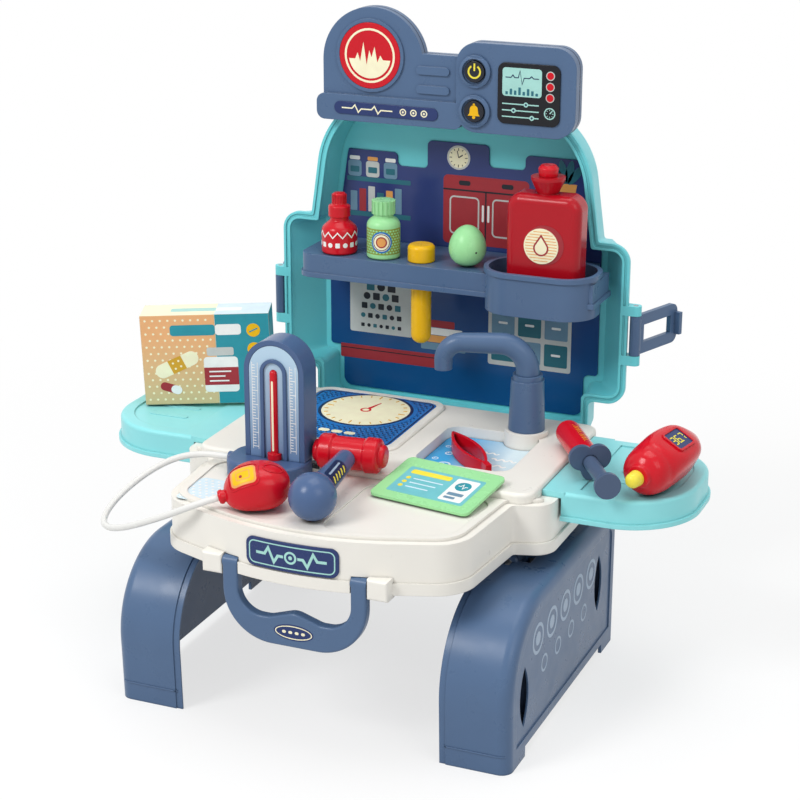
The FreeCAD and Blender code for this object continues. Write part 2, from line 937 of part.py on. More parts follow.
def handle():
    outer_half = handle_half + arm_width / 2
    inner_half = handle_half - arm_width / 2
    bottom = pivot_z - grip_drop
    grip_top = bottom + grip_height
    grip_corner = handle_half * grip_corner_share
    inner_radius = handle_half * inner_radius_share
    swell_half = handle_half * swell_half_share
    swell_radius = handle_half * swell_radius_share
    outer = [(-outer_half, bottom, grip_corner), (outer_half, bottom, grip_corner),
             (outer_half, pivot_z, 0),
             (-outer_half, pivot_z, 0)]
    inner = [(-inner_half, pivot_z + overrun, 0), (-inner_half, grip_top, inner_radius),
             (-swell_half, grip_top, swell_radius), (0, grip_top + grip_swell, swell_radius),
             (swell_half, grip_top, swell_radius), (inner_half, grip_top, inner_radius),
             (inner_half, pivot_z + overrun, 0)]
    y0 = pivot_y - handle_thick / 2
    y1 = pivot_y + handle_thick / 2
    body = slab(outer, y0, y1).cut(slab(inner, y0 - overrun, y1 + overrun))
    rounding = []
    for edge in body.Edges:
        box = edge.BoundBox
        flat = box.YLength < touch_tolerance
        if flat and box.ZMin < pivot_z - overrun:
            rounding.append(edge)
    body = body.makeFillet(handle_edge, rounding)
    for side in (-1, 1):
        near = vec(side * inner_half, pivot_y, pivot_z)
        far = vec(side * outer_half, pivot_y, pivot_z)
        body = body.fuse(rod(near, far, handle_thick / 2))
        pin_end = vec(side * (outer_half - handle_pin_depth - fit_gap), pivot_y, pivot_z)
        body = body.cut(rod(pin_end, far + vec(side * overrun, 0, 0), pin_radius + running_gap))
    return body


def handle_pins():
    pins = []
    for side in (-1, 1):
        inner = side * (handle_half + arm_width / 2 - handle_pin_depth)
        outer = side * (handle_half + arm_width / 2 + fit_gap + handle_lug_width - wall)
        pins.append(rod(vec(inner, pivot_y, pivot_z), vec(outer, pivot_y, pivot_z), pin_radius))
    return Part.makeCompound(pins)


def front_badge():
    face = case_face(badge_bottom)
    skin = prism(grown(face, badge_thick), badge_height).cut(prism(face, badge_height))
    window = slab(rectangle(-badge_half, badge_half, badge_bottom, badge_bottom + badge_height,
                            badge_corner),
                  lobe_front - lobe_bulge - overrun, lobe_front + overrun)
    return skin.common(window)


def scale_plate():
    bottom = deck_top + platform_rise - plate_sink - plate_thick
    return platform_block(0, bottom, bottom + plate_thick)


def water_sheet():
    floor = deck_top - basin_depth
    sheet = rounded_block(basin_left + fit_gap, basin_right - fit_gap, basin_front + fit_gap,
                          basin_rear - fit_gap,
                          floor, floor + water_thick, basin_corner)
    return sheet.cut(rod(vec(faucet_x, faucet_y, floor - overrun), vec(faucet_x, faucet_y, deck_top),
                         boss_radius + fit_gap))


def faucet_column():
    seat = deck_top + boss_rise
    foot = vec(faucet_x, faucet_y, seat)
    column = Part.makeCone(column_radius, column_radius - column_taper, column_height, foot)
    collar = rod(foot + vec(0, 0, column_height), foot + vec(0, 0, column_height + collar_height),
                 collar_radius - column_taper)
    spigot = rod(foot - vec(0, 0, spigot_depth), foot, spigot_radius)
    top = foot + vec(0, 0, column_height + collar_height)
    socket = rod(top - vec(0, 0, swivel_depth), top + vec(0, 0, overrun), swivel_radius + running_gap)
    return column.fuse([collar, spigot]).cut(socket)


def faucet_spout():
    base = deck_top + boss_rise + column_height + collar_height
    knee = pipe_rise - pipe_bend
    crown = pipe_rise
    turn_in = pipe_reach - pipe_end_bend
    diagonal = math.sqrt(1 / 2)
    bend_mid = vec(-pipe_bend * (1 - diagonal), 0, knee + pipe_bend * diagonal)
    end_mid = vec(-turn_in - pipe_end_bend * diagonal, 0, crown - pipe_end_bend * (1 - diagonal))
    start = vec(0, 0, 0)
    path = Part.Wire([
        Part.LineSegment(start, vec(0, 0, knee)).toShape(),
        Part.Arc(vec(0, 0, knee), bend_mid, vec(-pipe_bend, 0, crown)).toShape(),
        Part.LineSegment(vec(-pipe_bend, 0, crown), vec(-turn_in, 0, crown)).toShape(),
        Part.Arc(vec(-turn_in, 0, crown), end_mid, vec(-pipe_reach, 0, crown - pipe_end_bend)).toShape(),
        Part.LineSegment(vec(-pipe_reach, 0, crown - pipe_end_bend),
                         vec(-pipe_reach, 0, crown - pipe_end_bend - pipe_drop)).toShape(),
    ])
    outlet = vec(-pipe_reach, 0, crown - pipe_end_bend - pipe_drop)
    ring = Part.Wire([Part.Circle(start, vec(0, 0, 1), pipe_radius).toShape()])
    mouth = Part.Wire([Part.Circle(outlet, vec(0, 0, -1), outlet_radius).toShape()])
    pipe = path.makePipeShell([ring, mouth], True, False)
    pipe = pipe.cut(rod(outlet - vec(0, 0, overrun), outlet + vec(0, 0, outlet_depth),
                        outlet_radius - pipe_wall))
    pipe = pipe.fuse(rod(start - vec(0, 0, swivel_depth - fit_gap), start, swivel_radius))
    pipe.rotate(vec(0, 0, 0), vec(0, 0, 1), pipe_yaw)
    pipe.translate(vec(faucet_x, faucet_y, base))
    return pipe


def wing_corners(inset, inner):
    return [(inner, wing_front + inset, 0),
            (wing_outer - inset, wing_front + inset, wing_front_corner - inset),
            (wing_outer - inset, wing_rear - inset, wing_rear_corner - inset),
            (inner, wing_rear - inset, 0)]


def wing_right():
    side = wide_half + flange_proud + fit_gap
    bottom = wing_top - wing_height
    body = prism(rounded_face(wing_corners(0, side), on_floor(bottom)), wing_height)
    chosen = [edge for edge in edges_at(body, wing_top) if edge.BoundBox.XMax > side + overrun]
    body = body.makeFillet(wing_edge, chosen)
    lip = prism(rounded_face(wing_corners(-wing_lip_proud, side), on_floor(bottom)), wing_lip)
    hollow = prism(rounded_face(wing_corners(wall, side + wall), on_floor(bottom - overrun)),
                   wing_height + overrun - wall)
    flange = block(deck_half + fit_gap, side + wall, wing_front, wing_rear, ledge_z, wing_top)
    body = body.fuse([lip, flange]).cut(hollow)
    recess = rounded_face(wing_corners(wing_margin, side + wing_margin), on_floor(wing_top - wing_sink))
    body = body.cut(prism(recess, overrun))
    extras = []
    middle = (wing_front + wing_rear) / 2
    bar_x = (side + wing_outer) / 2
    for i in range(wing_bar_count):
        y = middle + (i - (wing_bar_count - 1) / 2) * wing_bar_pitch
        extras.append(rounded_block(bar_x - wing_bar_length / 2, bar_x + wing_bar_length / 2,
                                    y - wing_bar_width / 2,
                                    y + wing_bar_width / 2, wing_top - wing_sink, wing_top - wing_sink / 2,
                                    wing_bar_width / 2 - fit_gap))
    for y in wing_tab_places():
        x0 = deck_half + wall + fit_gap
        extras.append(block(x0, x0 + wing_tab_thick, y - wing_tab_length / 2, y + wing_tab_length / 2,
                            ledge_z - wing_tab_depth, ledge_z))
    return body.fuse(extras).removeSplitter()


def panel_corners(inset, ear):
    half = [
        (rear_half - inset, panel_bottom + inset, panel_foot_corner),
        (rear_half - inset, panel_notch_z + inset, inner_corner),
        (ear - inset, panel_notch_z + inset,
         panel_ear_corner - inset if ear == wide_half else inner_corner / 2),
        (ear - inset, shoulder_z - inset,
         panel_ear_corner - inset if ear == wide_half else inner_corner / 2),
        (narrow_half - inset, shoulder_z - inset, inner_corner / 2),
        (panel_top_half - inset, panel_top - inset, panel_top_corner - inset),
    ]
    return mirrored(half)


def panel_core(inset, front, back):
    rim = rounded_wire(panel_corners(inset, wide_half), on_front(front))
    rear = rounded_wire(panel_corners(inset + back_draft, ear_back_half + back_draft), on_front(back))
    return Part.makeLoft([rim, rear], True, True)


def panel_knuckles():
    knuckles = []
    for side in (-1, 1):
        for hand in (-1, 1):
            inner = side * knuckle_x + hand * (table_knuckle / 2 + fit_gap)
            outer = inner + hand * knuckle_width
            x0, x1 = sorted((inner, outer))
            barrel = rod(vec(x0, panel_axis_y, panel_axis_z), vec(x1, panel_axis_y, panel_axis_z),
                         knuckle_radius)
            web = block(x0, x1, panel_axis_y, rim_y + wall, panel_bottom, panel_axis_z + knuckle_radius)
            bore = rod(vec(x0 - overrun, panel_axis_y, panel_axis_z),
                       vec(x1 + overrun, panel_axis_y, panel_axis_z),
                       pin_radius + running_gap)
            knuckles.append(barrel.fuse(web).cut(bore))
    return knuckles


def panel_stop():
    # bar below the hinge that meets the table's rear wall when the tray stands upright
    low = panel_bottom + rim_bead / 2
    return block(-stop_half, stop_half, rear_y + fit_gap, rim_y + rim_bead, low, low + stop_height)


def latch_axis(side):
    return side * (wide_half + latch_axis_out), rim_y + latch_axis_deep


def latch_lugs(side):
    x, y = latch_axis(side)
    lugs = []
    for low in (latch_bottom, latch_top - latch_lug_height):
        high = low + latch_lug_height
        x0, x1 = sorted((side * (wide_half - rim_width), x))
        arm = block(x0, x1, y - latch_barrel, y + latch_barrel, low, high)
        end = rod(vec(x, y, low), vec(x, y, high), latch_barrel)
        lugs.append(arm.fuse(end).cut(rod(vec(x, y, low - overrun), vec(x, y, high + overrun), latch_pin)))
    return lugs


def hook_sockets():
    sockets = []
    for side in (-1, 1):
        x = side * hook_x
        half = hook_width / 2 + wall
        y0 = rim_y + hook_offset - wall
        sockets.append(block(x - half, x + half, y0, y0 + hook_thick + 2 * wall,
                             panel_top - hook_depth - wall, panel_top))
    return sockets


def hook_slots():
    slots = []
    for side in (-1, 1):
        x = side * hook_x
        half = hook_width / 2 + fit_gap
        y0 = rim_y + hook_offset - fit_gap
        slots.append(block(x - half, x + half, y0, y0 + hook_thick + 2 * fit_gap, panel_top - hook_depth,
                           panel_top + overrun))
    return slots


def panel_shell():
    back = rim_y + tray_deep
    shell = panel_core(0, rim_y, back).cut(panel_core(rim_width, rim_y, back - wall))
    bead = rounded_face(panel_corners(0, wide_half), on_front(rim_y)).extrude(vec(0, rim_bead_deep, 0))
    bead = bead.cut(rounded_face(panel_corners(rim_width + rim_bead, wide_half), on_front(rim_y)).extrude(
        vec(0, rim_bead_deep, 0)))
    ring = rounded_face(panel_corners(rim_bead, wide_half), on_front(rim_y))
    ring = ring.cut(rounded_face(panel_corners(2 * rim_bead, wide_half), on_front(rim_y)))
    groove = ring.extrude(vec(0, rim_bead / 2, 0))
    shell = shell.fuse(bead).cut(groove)
    shell = shell.fuse([panel_stop()] + panel_knuckles() + latch_lugs(-1) + latch_lugs(1) + hook_sockets())
    return shell.cut(hook_slots()).removeSplitter()


def art_board():
    # its top edge steps up and down below the sign
    back = rim_y + tray_deep - wall
    inset = rim_width + back_draft + board_margin
    face = rounded_face(panel_corners(inset, ear_back_half + back_draft), on_front(back - board_thick))
    left = inset - narrow_half
    span = -left - left
    reach = panel_top - panel_bottom
    corners = [(-wide_half, panel_bottom, 0), (wide_half, panel_bottom, 0)]
    levels = []
    for share, top in board_tops_shares:
        levels.append((left + share * span, panel_bottom + top * reach))
    corners.append((wide_half, levels[-1][1], 0))
    for i in range(len(levels) - 1, 0, -1):
        corners.append((levels[i - 1][0], levels[i][1], board_step_radius))
        corners.append((levels[i - 1][0], levels[i - 1][1], board_step_radius))
    corners.append((-wide_half, levels[0][1], 0))
    return face.extrude(vec(0, board_thick, 0)).common(slab(corners, back - board_thick, back))


def panel_pins():
    pins = []
    reach = table_knuckle / 2 + fit_gap + knuckle_width
    for side in (-1, 1):
        x = side * knuckle_x
        pins.append(rod(vec(x - reach, panel_axis_y, panel_axis_z),
                        vec(x + reach, panel_axis_y, panel_axis_z), pin_radius))
    return Part.makeCompound(pins)


def latch_plate():
    # latch drawn pointing along +X from its hinge axis at the origin
    low = latch_bottom + latch_lug_height + fit_gap
    high = latch_top - latch_lug_height - fit_gap
    barrel = rod(vec(0, 0, low), vec(0, 0, high), latch_barrel)
    plate = rounded_face([(0, low, 0), (latch_reach, low, latch_hook), (latch_reach, high, latch_hook),
                          (0, high, 0)],
                         on_front(-latch_thick / 2)).extrude(vec(0, latch_thick, 0))
    hook = block(latch_reach - latch_thick, latch_reach, -latch_hook, 0, low + latch_hook,
                 high - latch_hook)
    window = block(latch_window_margin, latch_reach - latch_window_margin, -overrun, overrun,
                   low + latch_window_margin, high - latch_window_margin)
    bore = rod(vec(0, 0, low - overrun), vec(0, 0, high + overrun), latch_pin + running_gap)
    return barrel.fuse([plate, hook]).cut([window, bore])


def latch_right():
    plate = latch_plate()
    plate.rotate(vec(0, 0, 0), vec(0, 0, 1), latch_open)
    x, y = latch_axis(1)
    plate.translate(vec(x, y, 0))
    return plate


def latch_pins():
    pins = []
    for side in (-1, 1):
        x, y = latch_axis(side)
        pins.append(rod(vec(x, y, latch_bottom), vec(x, y, latch_top), latch_pin))
    return Part.makeCompound(pins)


def shelf_corners(inset, rear):
    return [(shelf_left + inset, shelf_front + inset, shelf_corner - inset),
            (shelf_right - inset, shelf_front + inset, 0),
            (shelf_right - inset, cup_rear - inset, 0), (-shelf_left - inset, cup_rear - inset, 0),
            (-shelf_left - inset, rear, 0), (shelf_left + inset, rear, 0)]


def cup_corners(inset):
    return rectangle(cup_left + inset, shelf_right - inset, cup_front + inset, cup_rear - inset,
                     cup_corner - inset)


def shelf():
    rear = rim_y + tray_deep - wall - board_thick
    skirt = shelf_top - shelf_apron
    body = prism(rounded_face(shelf_corners(0, rear), on_floor(skirt)), shelf_apron)
    hollow = rounded_face(shelf_corners(wall, rear - wall), on_floor(skirt - overrun))
    body = body.cut(prism(hollow, overrun + shelf_apron - shelf_plate))
    bead = prism(rounded_face(shelf_corners(-shelf_bead, rear), on_floor(skirt)), shelf_bead_height)
    bead = bead.cut(prism(rounded_face(shelf_corners(wall, rear), on_floor(skirt)), shelf_bead_height))
    cup = prism(rounded_face(cup_corners(0), on_floor(cup_floor)), cup_rim - cup_floor)
    rim = prism(rounded_face(cup_corners(-shelf_bead), on_floor(cup_rim - shelf_bead_height)),
                shelf_bead_height)
    pocket = prism(rounded_face(cup_corners(wall), on_floor(cup_floor + wall)),
                   cup_rim + overrun - cup_floor)
    hole = rod(vec(tube_x, shelf_row_y, skirt), vec(tube_x, shelf_row_y, shelf_top + overrun),
               tube_radius + fit_gap)
    return body.fuse([bead, cup, rim]).cut([pocket, hole]).removeSplitter()


def sign_face(level):
    # outline of the bar, dome, middle block and screen block together
    outlines = [
        rectangle(bar_left, bar_right, bar_bottom, bar_top, bar_corner),
        rectangle(dome_x - dome_radius, dome_x + dome_radius, bar_top - bar_corner, dome_z, 0),
        rectangle(block_left, monitor_left + monitor_corner, bar_top - bar_corner, block_top, block_corner),
        rectangle(monitor_left, monitor_right, monitor_bottom, monitor_top, monitor_corner),
    ]
    body = rod(vec(dome_x, level, dome_z), vec(dome_x, level + sign_seam, dome_z), dome_radius)
    body = body.fuse([slab(corners, level, level + sign_seam) for corners in outlines]).removeSplitter()
    fronts = [face for face in body.Faces if face.BoundBox.YMax < level + touch_tolerance]
    return fronts[0]


def sign_half(y0, y1, closed_front):
    depth = vec(0, y1 - y0, 0)
    body = sign_face(y0).extrude(depth)
    skin = thin_wall if closed_front else -thin_wall
    inside = grown(sign_face(y0), -thin_wall).extrude(depth)
    inside.translate(vec(0, skin, 0))
    return body.cut(inside)


def sign_front():
    # the bar and the screen block stand proud of the dome
    seam = sign_front_y + sign_seam
    proud = sign_front_y - sign_rise
    body = sign_half(sign_front_y, seam, True)
    bar = rectangle(bar_left, bar_right, bar_bottom, bar_top, bar_corner)
    screen = rectangle(monitor_left, monitor_right, monitor_bottom, monitor_top, monitor_corner)
    room = rectangle(monitor_left + thin_wall, monitor_right - thin_wall, monitor_bottom + thin_wall,
                     monitor_top - thin_wall, monitor_corner - thin_wall)
    extras = [slab(bar, proud, sign_front_y), slab(screen, proud, sign_front_y)]
    cuts = [slab(room, proud + thin_wall, seam)]
    for z in (power_z, bell_z):
        ring = vec(button_x, proud, z)
        extras.append(rod(ring - vec(0, boss_ring_rise, 0), ring, button_radius + boss_ring))
        cuts.append(rod(ring - vec(0, overrun, 0), ring + vec(0, overrun / 2, 0),
                        button_radius + running_gap + fit_gap))
    for z in (pill_low_z, pill_high_z):
        corners = rectangle(pill_x - pill_length / 2, pill_x + pill_length / 2, z, z + pill_height,
                            pill_height / 2 - fit_gap)
        extras.append(slab(corners, sign_front_y - pill_rise, sign_front_y))
    collar = vec(disc_x, sign_front_y, disc_z)
    ring = rod(collar - vec(0, disc_thick, 0), collar, disc_radius + disc_ring)
    extras.append(ring.cut(rod(collar - vec(0, overrun, 0), collar, disc_radius + fit_gap)))
    return body.fuse(extras).cut(cuts).removeSplitter()


def sign_back():
    seam = sign_front_y + sign_seam
    rear = rim_y - fit_gap
    body = sign_half(seam, rear, False)
    hooks = []
    for side in (-1, 1):
        x = side * hook_x
        y1 = rim_y + hook_offset + hook_thick
        arm = block(x - hook_width / 2, x + hook_width / 2, rear, y1, panel_top + fit_gap,
                    panel_top + fit_gap + hook_thick)
        tongue = block(x - hook_width / 2, x + hook_width / 2, y1 - hook_thick, y1,
                       panel_top - hook_depth + fit_gap,
                       panel_top + fit_gap)
        hooks.append(arm.fuse(tongue))
    return body.fuse(hooks).removeSplitter()


def sign_disc():
    back = vec(disc_x, sign_front_y, disc_z)
    return rod(back - vec(0, disc_thick, 0), back, disc_radius)


def sign_strip():
    bottom = bar_bottom + strip_margin
    top = bar_top - strip_margin
    corners = rectangle(strip_left, strip_right, bottom, top, (top - bottom) / 2 - fit_gap)
    return slab(corners, sign_front_y - sign_rise - strip_thick, sign_front_y - sign_rise)


def monitor_screen():
    corners = rectangle(screen_left, screen_right, screen_bottom, screen_top, screen_corner)
    return slab(corners, sign_front_y - sign_rise - screen_thick, sign_front_y - sign_rise)


def sign_button(z):
    face = sign_front_y - sign_rise - button_proud
    shoulder = sign_front_y - sign_rise + thin_wall + fit_gap
    cap = rod(vec(button_x, face, z), vec(button_x, shoulder, z), button_radius)
    flange = rod(vec(button_x, shoulder, z), vec(button_x, shoulder + button_flange_thick, z),
                 button_radius + button_flange)
    reach = rim_y - fit_gap - thin_wall - circuit_thick - switch_height - button_travel - fit_gap
    stem = rod(vec(button_x, shoulder, z), vec(button_x, reach, z), button_stem)
    return cap.fuse([flange, stem])


def power_button():
    return sign_button(power_z)


def bell_button():
    return sign_button(bell_z)


def sound_board():
    back = rim_y - fit_gap - thin_wall
    front = back - circuit_thick
    board = block(board_left, board_right, front, back, board_low, board_high)
    half = switch_size / 2
    switches = [block(button_x - half, button_x + half, front - switch_height, front, z - half, z + half)
                for z in (power_z, bell_z)]
    return board.fuse(switches)


def battery_cells():
    cells = []
    for i in range(2):
        z = cell_low_z + i * (2 * cell_radius + fit_gap)
        y = rim_y - fit_gap - thin_wall - cell_radius
        cells.append(rod(vec(cell_x, y, z), vec(cell_x + cell_length, y, z), cell_radius))
    return Part.makeCompound(cells)


def speaker():
    back = rim_y - fit_gap - thin_wall
    basket = Part.makeCone(speaker_radius, speaker_radius / 2, speaker_thick / 2,
                           vec(dome_x, back - speaker_thick, dome_z), vec(0, 1, 0))
    magnet = rod(vec(dome_x, back - speaker_thick / 2, dome_z), vec(dome_x, back, dome_z),
                 speaker_radius / 2)
    return basket.fuse(magnet)


def gauge_base():
    body = rounded_block(gauge_left, gauge_right, gauge_front, gauge_rear, lobe_top,
                         lobe_top + gauge_base_height, gauge_corner)
    body = body.makeFillet(gauge_base_edge, edges_at(body, lobe_top + gauge_base_height))
    port = rod(vec(gauge_left - port_length, port_y, port_z), vec(gauge_left + wall, port_y, port_z),
               port_radius)
    return body.fuse(port)


def arch(inset, bottom, y0, y1):
    half = tower_width / 2
    middle = tower_left + half
    corners = [(middle - half + inset, bottom, 0), (middle + half - inset, bottom, 0),
               (middle + half - inset, tower_top - inset, half - inset - touch_tolerance),
               (middle - half + inset, tower_top - inset, half - inset - touch_tolerance)]
    return slab(corners, y0, y1)


def gauge_tower():
    bottom = lobe_top + gauge_base_height
    body = arch(0, bottom, tower_front, tower_front + tower_depth)
    back = tower_front + tower_depth
    chosen = [edge for edge in body.Edges if edge.BoundBox.YMin > back - touch_tolerance
              and edge.BoundBox.ZMax > bottom + overrun]
    body = body.makeFillet(tower_edge, chosen)
    return body.cut(arch(scale_margin, bottom, tower_front - overrun, tower_front + scale_thick))


def ridge(radius, y0, y1):
    # upright arch bar about the tower's middle line
    bottom = lobe_top + gauge_base_height
    middle = tower_left + tower_width / 2
    corners = [(middle - radius, bottom, 0), (middle + radius, bottom, 0),
               (middle + radius, ridge_top - ridge_outer + radius, radius - touch_tolerance),
               (middle - radius, ridge_top - ridge_outer + radius, radius - touch_tolerance)]
    return slab(corners, y0, y1)


def gauge_scale():
    bottom = lobe_top + gauge_base_height
    plate = arch(scale_margin + fit_gap, bottom, tower_front, tower_front + scale_thick)
    bar = ridge(ridge_outer, tower_front - ridge_rise, tower_front)
    bar = bar.cut(ridge(ridge_outer - ridge_width, tower_front - ridge_rise, tower_front))
    return plate.fuse(bar)


def gauge_column():
    bottom = lobe_top + gauge_base_height
    middle = tower_left + tower_width / 2
    foot = vec(middle, tower_front, bottom)
    tube = rod(foot, vec(middle, tower_front, mercury_top), mercury_radius)
    tube = tube.fuse(Part.makeSphere(mercury_radius, vec(middle, tower_front, mercury_top)))
    well = rod(foot, foot + vec(0, 0, mercury_foot), mercury_radius + mercury_foot / 2)
    behind = block(middle - tower_width, middle + tower_width, tower_front, tower_front + tower_depth,
                   bottom, tower_top)
    return tube.fuse(well).cut(behind)


def tube_along(points, diameter, label):
    # straight runs joined by the largest tangent arcs that they allow
    edges = []
    radii = []
    start = points[0]
    for i in range(1, len(points) - 1):
        before = points[i - 1] - points[i]
        after = points[i + 1] - points[i]
        turn = math.pi - before.getAngle(after)
        reach = arc_share * min(before.Length, after.Length)
        radius = reach / math.tan(turn / 2)
        radii.append(radius)
        before.normalize()
        after.normalize()
        entry = points[i] + before * reach
        leave = points[i] + after * reach
        middle = points[i] + (before + after).normalize() * (radius / math.cos(turn / 2) - radius)
        edges.append(Part.LineSegment(start, entry).toShape())
        edges.append(Part.Arc(entry, middle, leave).toShape())
        start = leave
    edges.append(Part.LineSegment(start, points[-1]).toShape())
    path = Part.Wire(edges)
    ring = Part.Wire([Part.Circle(points[0], points[1] - points[0], diameter / 2).toShape()])
    tube = path.makePipeShell([ring], True, False)
    volume = path.Length * math.pi * diameter ** 2 / 4
    print(label, "radii", [round(radius, 1) for radius in radii])
    print(label, "length", round(path.Length, 1), "volume", round(tube.Volume, 1), "section times length",
          round(volume, 1))
    return tube


def hose_route():
    return [vec(*point) for point in hose_points]


def air_hose():
    return tube_along(hose_route(), hose_diameter, "air hose")


def bulb_frame():
    # end of the hose and the level way it points there
    points = hose_route()
    along = points[-1] - points[-2]
    return points[-1], along.normalize()


def squeeze_bulb():
    end, along = bulb_frame()
    neck = rod(end, end + along * bulb_neck_length, bulb_neck_radius)
    forward = heading(bulb_yaw)
    across = heading(bulb_yaw + right_angle)
    start = end + along * (bulb_neck_length - wall)
    sections = []
    for place, width, height in bulb_section_shares:
        centre = start + forward * (place * bulb_length)
        bottom = lobe_top + fit_gap
        top = bottom + height * bulb_height
        half = width * bulb_width / 2
        sections.append(rounded_wire(rectangle(-half, half, bottom, top, bulb_round * width),
                                     lambda a, b, c=centre: vec(c.x + across.x * a, c.y + across.y * a, b)))
    body = Part.makeLoft(sections, True, False)
    return body.fuse(neck)


def hammer_frame():
    # the ball rests on the lobe and the head on the deck
    ball = vec(hammer_ball_x, hammer_ball_y, lobe_top + hammer_ball + fit_gap)
    rise = deck_top + hammer_head_radius - lobe_top - hammer_ball + fit_gap
    along = heading(right_angle + hammer_yaw) * hammer_length + vec(0, 0, rise)
    return ball, along.normalize()


def hammer_reach():
    return hammer_length - hammer_head_radius * hammer_waist_share


def hammer_peg():
    # end of the handle that is pressed into the head
    ball, along = hammer_frame()
    return rod(ball + along * (hammer_reach() - hammer_spigot),
               ball + along * (hammer_reach() + hammer_spigot), hammer_spigot)


def hammer_handle():
    ball, along = hammer_frame()
    sphere = Part.makeSphere(hammer_ball, ball)
    neck = laid(Part.makeCone(hammer_shaft, hammer_neck, hammer_reach()), ball, along)
    return sphere.fuse([neck, hammer_peg()])


def hammer_head():
    ball, along = hammer_frame()
    centre = ball + along * hammer_length
    across = heading(hammer_yaw)
    head = turned(hammer_head_radius, hammer_head_length, hammer_head_shares)
    return laid(head, centre - across * (hammer_head_length / 2), across).cut(hammer_peg())


def tweezers():
    # two bowed strips that meet at the tips and in a short stem
    half = tweezer_length / 2
    bottom = deck_top - basin_depth + water_thick + fit_gap
    outer_bow = tweezer_spread / 2
    inner_bow = outer_bow - tweezer_strip

    def bow(reach, width):
        fore = Part.Arc(vec(-reach, 0, 0), vec(0, width, 0), vec(reach, 0, 0)).toShape()
        aft = Part.Arc(vec(reach, 0, 0), vec(0, -width, 0), vec(-reach, 0, 0)).toShape()
        return prism(Part.Face(Part.Wire([fore, aft])), tweezer_height)

    body = bow(half, outer_bow).cut(bow(half - tweezer_strip * 2, inner_bow))
    stem = block(half - tweezer_strip * 2, half + tweezer_stem, -tweezer_strip, tweezer_strip, 0,
                 tweezer_height)
    slit = block(-half - overrun, -half + tweezer_strip * 3, -jaw_gap / 2, jaw_gap / 2, 0, tweezer_height)
    body = body.fuse(stem).cut(slit)
    body.translate(vec(half, 0, 0))
    body.rotate(vec(0, 0, 0), vec(0, 0, 1), tweezer_yaw)
    body.translate(vec(tweezer_tip_x, tweezer_tip_y, bottom))
    return body


def id_card():
    # front edge on the lobe, leaning on the deck's front edge
    body = rounded_block(-card_width / 2, card_width / 2, 0, card_length, 0, card_thick, card_corner)
    lean = math.degrees(math.atan2(deck_top - lobe_top + fit_gap, deck_front - card_front_y))
    body.rotate(vec(0, 0, 0), vec(1, 0, 0), lean)
    body.rotate(vec(0, 0, 0), vec(0, 0, 1), card_yaw)
    body.translate(vec(card_front_x, card_front_y, lobe_top + fit_gap))
    return body


def syringe_frame():
    z = wing_top + flange_drop + fit_gap
    return vec(syringe_disc_x, syringe_disc_y, z), heading(syringe_yaw)


def syringe_barrel():
    disc, along = syringe_frame()
    mouth = disc + along * (plunger_disc_thick + plunger_out)
    tube = turned(barrel_radius, barrel_length, barrel_shares)
    bore = Part.makeCylinder(barrel_bore, barrel_length - barrel_radius + barrel_bore - wall)
    return laid(tube.cut(bore), mouth, along)


def syringe_flange():
    # finger plate with two lobes above and a tip below, closed round the plunger's stem
    disc, along = syringe_frame()
    across = vec(-along.y, along.x, 0)
    face = disc + along * (plunger_disc_thick + plunger_out - flange_thick)

    def round_part(out, up, radius):
        centre = face + across * out + vec(0, 0, up)
        return rod(centre, centre + along * flange_thick, radius)

    side = lobe_out + lobe_radius
    outline = [(-side, lobe_up), (side, lobe_up), (flange_tip, flange_tip - flange_drop),
               (-flange_tip, flange_tip - flange_drop)]
    points = [face + across * out + vec(0, 0, up) for out, up in outline]
    web = Part.Face(Part.makePolygon(points + points[:1])).extrude(along * flange_thick)
    plate = web.fuse([round_part(-lobe_out, lobe_up, lobe_radius),
                      round_part(lobe_out, lobe_up, lobe_radius),
                      round_part(0, flange_tip - flange_drop, flange_tip)])
    return plate.cut(round_part(0, 0, plunger_radius + fit_gap)).removeSplitter()


def syringe_plunger():
    disc, along = syringe_frame()
    plate = Part.makeCylinder(plunger_disc, plunger_disc_thick)
    stem = Part.makeCylinder(plunger_radius, plunger_disc_thick + plunger_out + plunger_in)
    piston = Part.makeCylinder(barrel_bore - piston_gap, piston_thick,
                               vec(0, 0, plunger_disc_thick + plunger_out + plunger_in))
    return laid(plate.fuse([stem, piston]), disc, along)


def thermo_frame():
    z = wing_top - wing_sink / 2 + thermo_radius - thermo_seat + fit_gap
    return vec(thermo_tip_x, thermo_tip_y, z), heading(thermo_yaw)


def display_block(grow):
    tip, along = thermo_frame()
    across = vec(-along.y, along.x, 0)
    start = tip + along * (display_place_share * thermo_length - display_length / 2 - grow)
    corner = start - across * (display_width / 2 + grow) + vec(0, 0, thermo_radius - display_thick)
    body = Part.makeBox(display_length + 2 * grow, display_width + 2 * grow, display_thick + display_rise)
    body.rotate(vec(0, 0, 0), vec(0, 0, 1), thermo_yaw)
    body.translate(corner)
    return body


def thermometer_body():
    tip, along = thermo_frame()
    body = laid(turned(thermo_radius, thermo_length, thermo_shares), tip, along)
    reach = thermo_length + overrun
    seat = block(tip.x - reach, tip.x + reach, tip.y - reach, tip.y + reach, tip.z - reach,
                 wing_top - wing_sink / 2 + fit_gap)
    return body.cut([seat, display_block(0)])


def thermometer_display():
    return display_block(-display_gap)


def thermometer_tip():
    tip, along = thermo_frame()
    return laid(turned(tip_radius, tip_length, tip_shares), tip, along * -1)


